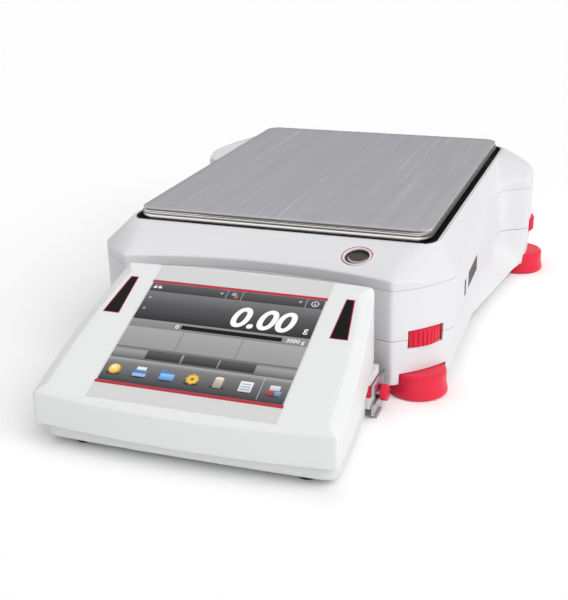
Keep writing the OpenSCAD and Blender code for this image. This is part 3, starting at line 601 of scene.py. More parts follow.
def rear_deck(at, q):
    """Cover over the rear half: the higher of side shoulder and leg slope, under a rounded rear edge.

    All three are crowned: the rear edge over the share q of the way in, the shoulder over the way from the side to the
    well, and the leg over the first 40 mm behind its front face, ahead of which it falls by half of the distance.
    """
    x, y = np.abs(at[:, 0]), at[:, 1]
    half = side_x(y)
    share = np.clip((half - x) / (half - PAN_W / 2 - PAN_GAP - WELL_LIP), 0.0, 1.0)
    behind = (y - LEG_ROOT[1]) * LEG_FACE[0] - (x - LEG_ROOT[0]) * LEG_FACE[1]
    slope = crowned(LEG_EDGE_Z, np.clip(behind / LEG_SLOPE, 0.0, 1.0), 1.5) + np.minimum(behind, 0.0) / 2
    return np.minimum(np.maximum(crowned(SIDE_EDGE_Z, share, CROWN), slope), crowned(REAR_EDGE_Z, q, 2))


def cover_solid(shell):
    """Top cover as one skin that closes on itself: wall, rounded shoulder, deck, well, underside.

    Each outline point looks at the nearest point of the well's rounded rectangle; the section lies in the upright
    plane through both. The front deck is crowned over the way in, and a Bezier curve rounds the shoulder below it.
    """
    plan = housing_outline(shell.fold_mm)
    middle = np.array([0.0, PAN_D / 2])
    half = np.array([PAN_W / 2 + PAN_GAP, PAN_D / 2 + PAN_GAP]) - WELL_CORNER
    core, way, reach = spokes(plan, middle, half)
    length = reach - WELL_CORNER - WELL_LIP
    x, y = np.abs(plan[:, 0]), plan[:, 1]
    behind = y > PAN_D / 2
    front_edge = BROW_Z + (SIDE_EDGE_Z - BROW_Z) * smoothstep(FACE_W / 2 - 6, BODY_W / 2, x)
    edge = np.where(behind, rear_deck(plan, 0.0), front_edge)
    radius = SHOULDER_R + SHOULDER_GAIN * smoothstep(LEG_ROOT[1], LEG_MID[1], y)
    first = np.clip(radius / np.hypot(length, DECK_Z - edge), 0.05, 0.45)

    def deck(q):
        at = core + way * (WELL_CORNER + WELL_LIP + length * (1 - q))[:, None]
        return stacked(at, np.where(behind, rear_deck(at, q), crowned(edge, q, CROWN)))

    def beside(offset):
        return core + way * (WELL_CORNER + offset)

    low = SEAM_HIGH + TOP_SEAM
    start = np.maximum(low + shell.edge_mm + 0.1, edge - radius)
    rings = edge_rings(plan, low, shell.edge_mm, 1)
    rings += list(bezier(stacked(plan, start), stacked(plan, edge), deck(first), 7)[:-1])
    rings += [deck(first + (1 - first) * t) for t in np.linspace(0.0, 1.0, 16)]
    rings += [stacked(beside(1.0 - step[0]), DECK_Z - step[1]) for step in 1.0 - quarter(1.0)[:, ::-1]]
    rings += [stacked(beside(offset), WELL_Z + rise) for offset, rise in WELL_FILLET]
    floor, hole = rings[-1][:, :2], round_hole(middle, POST_HOLE_R, core)
    rings += [stacked(floor * (1 - t) + hole * t, WELL_Z) for t in (0.5, 1.0)]
    rings += [stacked(hole, WELL_Z - WALL), stacked(plan - outward(plan) * WALL, WELL_Z - WALL)]
    return loft(rings, wrapped=True)


def band_solid(shell):
    """Upper housing: one wall all round between the two seams, its outer edges rounded."""
    plan = housing_outline(shell.fold_mm)
    lower = edge_rings(plan, SEAM_LOW + shell.seam_mm / 2, shell.edge_mm, 1)
    upper = edge_rings(plan, SEAM_HIGH - TOP_SEAM, shell.edge_mm, -1)
    return loft(lower + upper[::-1], wrapped=True)


def skirt_solid(shell):
    """Lower housing: drafted wall over a flat rim, a recess between the legs and the hook's hole in its floor.

    Towards each leg the wall flares by max(0, line(y) - x)(1 - (z - z0)/24)^2, line running straight to the leg.
    """
    plan = housing_outline(shell.fold_mm)
    normal = outward(plan)
    high = SEAM_LOW - shell.seam_mm / 2
    x, y = np.abs(plan[:, 0]), plan[:, 1]
    side, leg = side_x(FLARE_Y), LEG_FRONT[0] - FLARE_SHY
    line = side + (leg - side) * (y - FLARE_Y) / (LEG_FRONT[1] - FLARE_Y)
    flare = np.where((y > FLARE_Y) & (y < LEG_FRONT[1]), np.maximum(line - x, 0.0), 0.0) * np.sign(plan[:, 0])

    def wall(height, inset=0.0):
        at = plan - normal * (inset + shell.draft_mm * (high - height) / (high - SKIRT_Z))
        at[:, 0] += flare * max(0.0, 1 - (height - SKIRT_Z) / FLARE_H) ** 2
        return stacked(at, height)

    rings = [wall(high, WALL)]
    rings += [wall(high - drop, inset) for inset, drop in quarter(shell.edge_mm)[::-1]]
    rings += [wall(height) for height in np.linspace(high - shell.edge_mm, SKIRT_Z + SKIRT_EDGE, 12)[1:-1]]
    rings += [wall(SKIRT_Z + drop, inset) for inset, drop in quarter(SKIRT_EDGE)]
    half = np.array([BELLY_X, (BELLY_Y[1] - BELLY_Y[0]) / 2]) - BELLY_R
    core, way, _ = spokes(plan, np.array([0.0, sum(BELLY_Y) / 2]), half)
    rings += [stacked(core + way * (BELLY_R + out), height) for out, height in (
        (BELLY_EDGE, SKIRT_Z), (0.0, SKIRT_Z + BELLY_EDGE), (0.0, BELLY_Z - BELLY_FILLET), (-BELLY_FILLET, BELLY_Z))]
    hole = round_hole(np.array([0.0, PAN_D / 2]), HOOK_R, core)
    rings += [stacked(hole, BELLY_Z), stacked(hole, FLOOR_Z), wall(FLOOR_Z, WALL)]
    return loft(rings, wrapped=True)


def brow_height(x, y):
    """Front deck's height, crowned over the share of the way from the hollow brow to the well."""
    brow = FACE_DIP * (1 - (2 * x / FACE_W) ** 2) - NOSE
    return crowned(BROW_Z, (y - brow) / (-PAN_GAP - WELL_LIP - brow), CROWN)


def level_frame():
    """Plane of the deck round the level, from its height and its slopes across and along."""
    across, along = ((brow_height(VIAL_X + x, VIAL_Y + y) - brow_height(VIAL_X - x, VIAL_Y - y)) / (2 * RING_R)
                     for x, y in ((RING_R, 0.0), (0.0, RING_R)))
    turn = Matrix.Rotation(-math.atan(across), 4, "Y") @ Matrix.Rotation(math.atan(along), 4, "X")
    return Matrix.Translation((VIAL_X, VIAL_Y, brow_height(VIAL_X, VIAL_Y))) @ turn


def wheel_frame(name):
    """Turn and place of a levelling wheel: +x looks out through its window."""
    x, y, _ = centre_mm("foot_stud_" + name)
    turn = REAR_TURN if "rear" in name else math.atan2((FACE_W - BODY_W) / 2, CORNER_RUN)
    turn = math.pi - turn if "left" in name else turn
    return Matrix.Translation((x, y, 0.0)) @ Matrix.Rotation(turn, 4, "Z")


def wheel_space():
    """Space swept by a wheel and its window, between the window's lower and upper edge."""
    radius, half, height = WHEEL_R + PLAY, WINDOW_W / 2, WHEEL_H + 2 * PLAY
    start = math.asin(half / radius)
    arc = radius * on_circle(np.linspace(start, 2 * math.pi - start, 60))
    outline = np.vstack([[(WINDOW_REACH, -half), (WINDOW_REACH, half)], arc])
    return prism(outline, SEAM_LOW - height / 2, SEAM_LOW + height / 2)


def foot_space():
    """Space for a foot and its travel under its leg."""
    return prism(disc(FLANGE_R - 0.4, 80) + (FOOT_OUT, 0.0), -FOOT_TRAVEL, FOOT_H + PLAY)


def stud_space():
    """Bore for a foot's stud up through its leg."""
    return prism(disc(STUD_R + 0.2, 32), FOOT_H - 1.0, SEAM_LOW + 20.0)


def foot_solid():
    """Levelling foot: a drum of revolution, a little wider at the bench, set outside its wheel's axis."""
    top = FLANGE_R - 1.1
    profile = [(FLANGE_R - inset, drop) for inset, drop in quarter(1.8, 6)[::-1]]
    profile += bezier((FLANGE_R - 0.1, 3.0), (FLANGE_R - 0.9, 6.0), (top, 8.0), 6).tolist()
    profile += [(top - inset, FOOT_H - drop) for inset, drop in quarter(2.4, 7)]
    return loft([stacked(disc(radius, 112) + (FOOT_OUT, 0.0), height) for radius, height in profile])


def wheel_solid(ribs, depth):
    """Ribbed wheel: radius R - depth * clip(1/2 - 1.4 cos(ribs a), 0, 1), fading out over the rounded edges."""
    turn = full_turn(ribs * RIB_STEPS)
    wave = depth * np.clip(0.5 - RIB_GAIN * np.cos(ribs * turn), 0.0, 1.0)
    ray = on_circle(turn)
    low, high = SEAM_LOW - WHEEL_H / 2, SEAM_LOW + WHEEL_H / 2
    edge = quarter(WHEEL_EDGE)

    def ring(inset, height):
        return stacked(ray * (WHEEL_R - inset - wave * (1 - inset / WHEEL_EDGE))[:, None], height)

    rings = [stacked(ray * STUD_R, low)]
    rings += [ring(inset, low + drop) for inset, drop in edge[::-1]]
    rings += [ring(inset, high - drop) for inset, drop in edge]
    rings += [stacked(ray * STUD_R, high)]
    return loft(rings, wrapped=True)


def rounded_rectangle(width, depth, radius, steps=14, per_side=24):
    """Anticlockwise outline about the origin: four arcs joined by evenly stepped sides."""
    arc = radius * on_circle(np.linspace(0.0, math.pi / 2, steps))
    corners = [arc + (width / 2 - radius, depth / 2 - radius),
               arc[:, ::-1] * (-1, 1) + (radius - width / 2, depth / 2 - radius),
               -arc + (radius - width / 2, radius - depth / 2),
               arc[:, ::-1] * (1, -1) + (width / 2 - radius, radius - depth / 2)]
    share = np.linspace(0.0, 1.0, per_side)[1:-1, None]
    sides = [a[-1] * (1 - share) + b[0] * share for a, b in zip(corners, corners[1:] + corners[:1])]
    return np.vstack([part for pair in zip(corners, sides) for part in pair])


def pan_solid(settings):
    """Pan: flat plate over a rim of two beads with a groove above each, one sheet thick.

    A bead of height h between two grooves bulges with sin(pi t) from the groove's depth to the pan's outline.
    """
    edge, depth = settings.edge_mm, settings.groove_mm

    def ring(inset, drop):
        at = rounded_rectangle(PAN_W - 2 * inset, PAN_D - 2 * inset, max(PAN_CORNER - inset, 0.6))
        return stacked(at + (0.0, PAN_D / 2), PAN_TOP - drop)

    def bead(high, low):
        t = np.linspace(0.0, 1.0, 9)
        return np.column_stack([depth * (1 - np.sin(np.pi * t) ** 0.7), high + (low - high) * t])

    lip = quarter(edge, 5)[::-1] + (0.5, 0.0)
    first, last = 2 * edge + 0.9, RIM_H * 0.46
    outside = np.vstack([[(14.0, 0.0), (6.0, 0.0)], lip, [(0.5, edge + 0.4), (depth, 2 * edge + 0.3)],
                         bead(first, last), bead(last + 0.5, RIM_H - 0.2)])
    inner = np.array([(depth + PAN_SHEET, RIM_H - 0.2), (depth + PAN_SHEET, PAN_SHEET + 1.5),
                      (depth + PAN_SHEET + 1.5, PAN_SHEET), (14.0, PAN_SHEET)])
    return loft([ring(*step) for step in np.vstack([outside, inner])])


def terminal_outline(inset, fold=HOOD_FOLD, count=520):
    """Plan of the terminal drawn in by inset: bowed front, sides and rear between four softly rounded corners."""
    s = np.linspace(0.0, 1.0, 80)
    bow = TERM_BOW * math.cos(TILT)
    front = np.array([TERM_FRONT_W / 2 - inset, TERM_FRONT_Y + bow + inset])
    rear = np.array([TERM_REAR_W / 2 - inset, TERM_REAR_Y - TERM_REAR_BOW - inset])
    lip = np.column_stack([front[0] * s, front[1] - bow * (1 - s * s)])
    side = bowed(front, rear, TERM_SIDE_BOW)
    brow = np.column_stack([rear[0] * (1 - s), rear[1] + TERM_REAR_BOW * (1 - (1 - s) ** 2)])
    return both_sides(np.vstack([lip, side[1:], brow[1:]]), count, fold)


def terminal_ring(inset, height, fold=HOOD_FOLD):
    """Ring over the terminal's plan, at a height that is a function of y."""
    at = terminal_outline(inset, fold)
    return stacked(at, height(at[:, 1]))


def top_face(y):
    """Height of the terminal's sloping top face."""
    return SCREEN_Z + (y - SCREEN_Y) * math.tan(TILT)


def parting(y):
    """Height of the line between the terminal's two shells."""
    return PART_FRONT_Z + (PART_REAR_Z - PART_FRONT_Z) * (y - TERM_FRONT_Y) / (TERM_REAR_Y - TERM_FRONT_Y)


def on_terminal():
    """Frame of the terminal's top face: origin at the display's lower edge, +y up the slope."""
    return Matrix.Translation((0.0, SCREEN_Y, SCREEN_Z)) @ Matrix.Rotation(TILT, 4, "X")


def hood_solid(shell):
    """Terminal's upper shell: upright wall, bevel round a flat sloping top, hollow below.

    At inset i the top falls by d (1 - i/w): d and w are the sides' own, narrower in front and next to none behind.
    """
    def top(inset, under=0.0):
        at = terminal_outline(inset)
        across, ahead = outward(at).T
        front = ahead < 0
        side = across ** 2
        width = np.where(front, FRONT_BEVEL[0], REAR_BEVEL[0]) * (1 - side) + shell.band_mm * side
        fall = np.where(front, FRONT_BEVEL[1], REAR_BEVEL[1]) * (1 - side) + shell.band_drop_mm * side
        return stacked(at, top_face(at[:, 1]) - fall * np.maximum(1 - inset / width, 0.0) - under)

    rings = [terminal_ring(TERM_WALL, parting)]
    rings += [terminal_ring(inset, lambda y, d=rise: parting(y) + d) for inset, rise in quarter(0.7)[::-1]]
    rings += [terminal_ring(0.0, lambda y: (parting(y) + top_face(y) - shell.band_drop_mm) / 2)]
    rings += [top(inset, under) for inset, under in quarter(0.5)]
    rings += [top(inset) for inset in (1.5, 2.8, 3.2, 5.0, shell.band_mm - 0.2, shell.band_mm + 0.2, 11.0)]
    under = [terminal_ring(TERM_WALL + inset, lambda y, d=down: top_face(y) + d - shell.band_drop_mm - 3.6)
             for inset, down in ((3.0, 0.0), (0.0, -3.0))]
    return loft(under + rings)


def tray_solid():
    """Terminal's lower shell: set in under the parting line, with a raked keel in front and a sloping hollow."""
    span = TERM_REAR_Y - TERM_FRONT_Y

    def ring(inset, height):
        return terminal_ring(inset, height, TRAY_FOLD)

    def keel(y):
        return np.maximum(TERM_FOOT_H, KEEL_Z - (KEEL_Z - TERM_FOOT_H) * (y - TERM_FRONT_Y) / KEEL_RUN)

    def hollow(y):
        low, high = TERM_FOOT_H + TERM_WALL, RECESS_Z + TERM_WALL
        return low + (high - low) * (y - TERM_FRONT_Y) / span

    inner = BOTTOM_INSET + TERM_WALL
    rings = [ring(inner + 4.0, hollow), ring(inner, lambda y: np.minimum(hollow(y) + 3.0, parting(y) - 0.6)),
             ring(inner, lambda y: parting(y) - 0.3), ring(BOTTOM_INSET + 0.5, lambda y: parting(y) - 0.3)]
    rings += [ring(BOTTOM_INSET, lambda y: parting(y) - 0.8)]
    rings += [ring(BOTTOM_INSET + inset, lambda y, d=down: keel(y) + d) for inset, down in quarter(3.0, 7)]
    rings += [ring(BOTTOM_INSET + inset, keel) for inset in (6.0, 9.0, 12.0, 16.0, 22.0)]
    return loft(rings)


def sensor_outline(grow):
    """Trapezoid of a sensor window in the top face's frame, its corners moved out by grow."""
    return SENSOR + grow * SENSOR_GROW


def ring_solid(inner, outer, low, high, steps=96):
    """Flat ring with softened upper edges about the origin."""
    soft = min(0.35, (outer - inner) / 3, (high - low) / 2)
    rings = [stacked(disc(radius, steps), height) for radius, height in (
        (inner, low), (inner, high - soft), (inner + soft, high), (outer - soft, high), (outer, high - soft),
        (outer, low))]
    return loft(rings, wrapped=True)


def knob_solid(name):
    """Clamp knob: a fluted disc about x, radius R (1 - 0.05 cos 14a), with rounded edges."""
    low, high = box_mm(name)
    middle, length = (low + high) / 2, high[0] - low[0]
    turn = full_turn(FLUTES * RIB_STEPS)
    ray = on_circle(turn) * (1 - FLUTE_DEPTH * np.cos(FLUTES * turn))[:, None]
    radius = (high[2] - low[2]) / 2 / KNOB_REACH
    edge = quarter(KNOB_EDGE)
    return loft([np.column_stack([np.full(len(ray), low[0] + at), *((radius - inset) * ray).T + middle[1:, None]])
                 for inset, at in np.vstack([edge[::-1], edge * (1, -1) + (0.0, length)])])


class Picture:
    """Flat coloured shapes of the display, gathered into one mesh with a colour for each corner."""

    def __init__(self, left, top, layer_mm=0.012):
        self.left, self.top, self.layer_mm = left, top, layer_mm
        self.solids, self.colours = [], []

    def shape(self, outline, colours, layer):
        """One polygon at (u from the left, v from the rear edge), on a layer above the glass."""
        points = stacked(np.asarray(outline) * (1, -1) + (self.left, self.top), layer * self.layer_mm)
        self.solids.append((points, [list(range(len(points)))[::-1]]))
        self.colours += [rgba(colour) for colour in colours]

    def bar(self, u0, v0, u1, v1, first, last=None, layer=1):
        """Rectangle, shaded from its first colour at the rear to its last at the front."""
        low = first if last is None else last
        self.shape([(u0, v0), (u1, v0), (u1, v1), (u0, v1)], [first, first, low, low], layer)

    def spot(self, u, v, radius, colour, layer=3, steps=28, squash=1.0):
        """Disc or ellipse."""
        self.shape(disc(radius, steps) * (1.0, squash) + (u, v), [colour] * steps, layer)

    def piece(self, name):
        """The gathered shapes as an object on the terminal's top face."""
        mesh = mesh_from(name, moved(merged(*self.solids), on_terminal()))
        paint = mesh.color_attributes.new("paint", "FLOAT_COLOR", "POINT")
        paint.data.foreach_set("color", np.array(self.colours, dtype=np.float32).ravel())
        return linked(name, mesh)


def lettering(name, words, u, v, size, left, top, lift, slant=0.0, weight=0.0):
    """Words as a flat mesh on the terminal's top face, their middle at (u, v)."""
    curve = bpy.data.curves.new(name, "FONT")
    curve.body, curve.size, curve.shear, curve.offset = words, size, slant, weight
    curve.align_x, curve.align_y = "CENTER", "CENTER"
    holder = linked(name, curve)
    mesh = baked(holder)
    bpy.data.objects.remove(holder)
    at = Matrix.Translation((left + u, top - v, lift))
    to_metres = Matrix.Translation((0.0, PAN_FRONT * MM, 0.0)) @ Matrix.Scale(MM, 4)
    mesh.transform(to_metres @ on_terminal() @ at)
    return linked(name, mesh)


class ShellSettings(bpy.types.PropertyGroup):
    """Moulded shells of the housing and the terminal."""

    fold_mm: FloatProperty(name="Fold", description="Reach of the rounding of upright folds, in mm",
                           default=1.4, min=0.5)
    seam_mm: FloatProperty(name="Seam", description="Gap between two layers, in mm", default=0.35, min=0.05)
    edge_mm: FloatProperty(name="Edge", description="Rounding of the layers' edges, in mm", default=0.45, min=0.1)
    draft_mm: FloatProperty(name="Draft", description="How far the lower layer draws in downwards, in mm", default=2.0)
    band_mm: FloatProperty(name="Band", description="Width of the bevel round the terminal's top, in mm", default=7.5)
    band_drop_mm: FloatProperty(name="Band drop", description="Fall of that bevel at its outer edge, in mm",
                                default=3.2)
    housing: FloatVectorProperty(name="Housing", description="Colour of the housing", subtype="COLOR",
                                 default=(0.70, 0.70, 0.72))
    # The well's colour is painted shade: dark grey where the well lies in shadow under the pan
    well: FloatVectorProperty(name="Well", description="Colour of the pan's well", subtype="COLOR",
                              default=(0.06, 0.06, 0.063))
    terminal: FloatVectorProperty(name="Terminal", description="Colour of the terminal", subtype="COLOR",
                                  default=(0.75, 0.755, 0.76))
    overlay: FloatVectorProperty(name="Overlay", description="Colour of the terminal's overlay", subtype="COLOR",
                                 default=(0.62, 0.625, 0.62))
    red: FloatVectorProperty(name="Red", description="Colour of wheels, feet, clamps and trims", subtype="COLOR",
                             default=(0.70, 0.014, 0.045))


class PanSettings(bpy.types.PropertyGroup):
    """Weighing pan and wheels."""

    edge_mm: FloatProperty(name="Edge", description="Radius of the plate's edge, in mm", default=0.6, min=0.2)
    groove_mm: FloatProperty(name="Groove", description="Depth of the grooves round the rim, in mm",
                             default=1.1, min=0.2)
    steel: FloatVectorProperty(name="Steel", description="Colour of the pan's steel", subtype="COLOR",
                               default=(0.475, 0.47, 0.505))
    ribs: IntProperty(name="Ribs", description="Ribs round a levelling wheel", default=36, min=12)
    rib_mm: FloatProperty(name="Rib depth", description="Depth of the grooves between the ribs, in mm", default=0.9)


class StageSettings(bpy.types.PropertyGroup):
    """Camera and light."""

    azimuth: FloatProperty(name="Azimuth", description="Direction of the camera", subtype="ANGLE",
                           default=math.radians(20.06))
    elevation: FloatProperty(name="Elevation", description="Height angle of the camera", subtype="ANGLE",
                             default=math.radians(21.49))
    roll: FloatProperty(name="Roll", description="Roll of the camera", subtype="ANGLE", default=math.radians(-1.29))
    lens: FloatProperty(name="Lens", description="Focal length in mm", default=64.314, unit="CAMERA")
    ambient: FloatProperty(name="Ambient", description="Light from all round", default=0.34)
    key: FloatProperty(name="Key", description="Strength of the key sun", default=2.3)
    fill: FloatProperty(name="Fill", description="Strength of the top sun", default=0.65)


class BALANCE_OT_housing(bpy.types.Operator):
    """Builds the three layers of the housing"""

    bl_idname = "balance.housing"
    bl_label = "Housing"

    def execute(self, context):
        shell = context.scene.balance_shell
        white = plastic("housing_white", shell.housing, 0.42)
        # The cover's well is painted dark as shade, its front wall left white
        cover_with_painted_shade = plastic("cover_white", shell.housing, 0.42, second=shell.well, mask=well_shade_mask)
        wheels, feet, bores = ([moved(space, wheel_frame(name)) for name in WHEELS]
                               for space in (wheel_space(), foot_space(), stud_space()))
        sockets = [block(*self.grown(node, (0.1, 4.0, 0.1))) for node in ("rear_panel", "terminal_socket")]
        deck = Matrix.Translation((VIAL_X, VIAL_Y, VIAL_Z)) @ Matrix.Rotation(DECK_TILT, 4, "X")
        vial = moved(prism(disc(RING_R + 0.1), -11.0, 12.0), deck)
        for name, solid, cut, material, node in (
                ("cover", cover_solid(shell), vial, cover_with_painted_shade, "top_cover"),
                ("band", band_solid(shell), merged(*wheels, *self.latches(), *sockets), white, "upper_housing"),
                ("skirt", skirt_solid(shell), merged(*wheels, *feet, *bores), white, "lower_housing")):
            build(name, solid, "base", material, [node], cut)
        return {"FINISHED"}

    @staticmethod
    def grown(node, by):
        """A node's box, larger by a margin on each side."""
        low, high = box_mm(node)
        return low - by, high + by

    @staticmethod
    def latches():
        """The four latch pockets, which follow the side walls."""
        low, high = box_mm("latch_plugs")
        for side in (-1, 1):
            for y0, y1 in SLOTS:
                y = np.linspace(y0 - 0.3, y1 + 0.3, 12)
                wall = np.vstack([np.column_stack([side_x(y) + 1.0, y]),
                                  np.column_stack([side_x(y) - SLOT_DEEP - 0.5, y])[::-1]])
                yield prism(wall * (side, 1), low[2] - 0.3, high[2] + 0.3)


class BALANCE_OT_pan(bpy.types.Operator):
    """Builds the steel pan"""

    bl_idname = "balance.pan"
    bl_label = "Pan"

    def execute(self, context):
        settings = context.scene.balance_pan
        steel = brushed("pan_steel", settings.steel)
        build("pan", pan_solid(settings), "pan", steel, ["weighing_pan"], sharp=50.0)
        return {"FINISHED"}


class BALANCE_OT_levelling(bpy.types.Operator):
    """Builds the levelling wheels, their feet and the level"""

    bl_idname = "balance.levelling"
    bl_label = "Levelling"

    def execute(self, context):
        settings = context.scene.balance_pan
        red = plastic("red_plastic", context.scene.balance_shell.red, 0.36)
        for name in WHEELS:
            place = wheel_frame(name)
            wheel, foot = moved(wheel_solid(settings.ribs, settings.rib_mm), place), moved(foot_solid(), place)
            build("wheel_" + name, wheel, "wheel_" + name, red, ["level_wheel_" + name])
            build("foot_pad_" + name, foot, "foot_" + name, red, ["foot_" + name])
        deck = level_frame()
        trim = moved(ring_solid(RING_R - 0.35, RING_R, -1.2, 0.15), deck)
        build("level_trim", trim, "base", red, ["level_ring"])
        collar = moved(ring_solid(VIAL_R, RING_R - 0.4, -1.2, 0.12), deck)
        white = plastic("collar_white", context.scene.balance_shell.housing)
        build("level_collar", collar, "base", white)
        # The vial's glass is painted: dark painted shade with a light crescent of painted highlight
        dress(bubble("vial_glass", (0.045, 0.034, 0.028), (0.42, 0.40, 0.37)), "level_vial")
        dress(plastic("cup_black", (0.03, 0.03, 0.032), 0.5), "level_cup")
        return {"FINISHED"}


class BALANCE_OT_terminal(bpy.types.Operator):
    """Builds the terminal's shells"""

    bl_idname = "balance.terminal"
    bl_label = "Terminal"

    def execute(self, context):
        shell = context.scene.balance_shell
        warm = plastic("terminal_white", shell.terminal, 0.42, bevel=0.0002)
        top = on_terminal()
        low, high = OVERLAY_FRONT - TERM_LIP, SCREEN_L + TERM_BROW - OVERLAY_REAR
        recess = rounded_rectangle(SCREEN_W - 0.25, high - low - 0.25, 0.5) + (0.0, (low + high) / 2)
        window = block((-SCREEN_W / 2 + 1.0, TRIM_L, -4.0), (SCREEN_W / 2 - 1.0, SCREEN_L - TRIM_L, -0.5))
        sensors = [prism(sensor_outline(0.1) * (side, 1), -1.25, 5.0) for side in (-1, 1)]
        plug_low, plug_high = box_mm("terminal_plug")
        plug = block(plug_low - (0.1, 0.0, 0.1), plug_high + (0.1, 6.0, 0.1))
        openings = [moved(solid, top) for solid in (prism(recess, -OVERLAY_T, 5.0), window, *sensors)]
        build("hood", hood_solid(shell), "terminal", warm, ["terminal_top_shell"],
              merged(*openings, plug))
        grey = plastic("tray_white", [0.9 * part for part in shell.terminal], 0.5)
        build("tray", tray_solid(), "terminal", grey, ["terminal_bottom_shell"],
              block((-120.0, RECESS_Y, -5.0), (120.0, 40.0, RECESS_Z)))
        dress(plastic("overlay_grey", shell.overlay, 0.5, 0.05), "display_overlay")
        return {"FINISHED"}


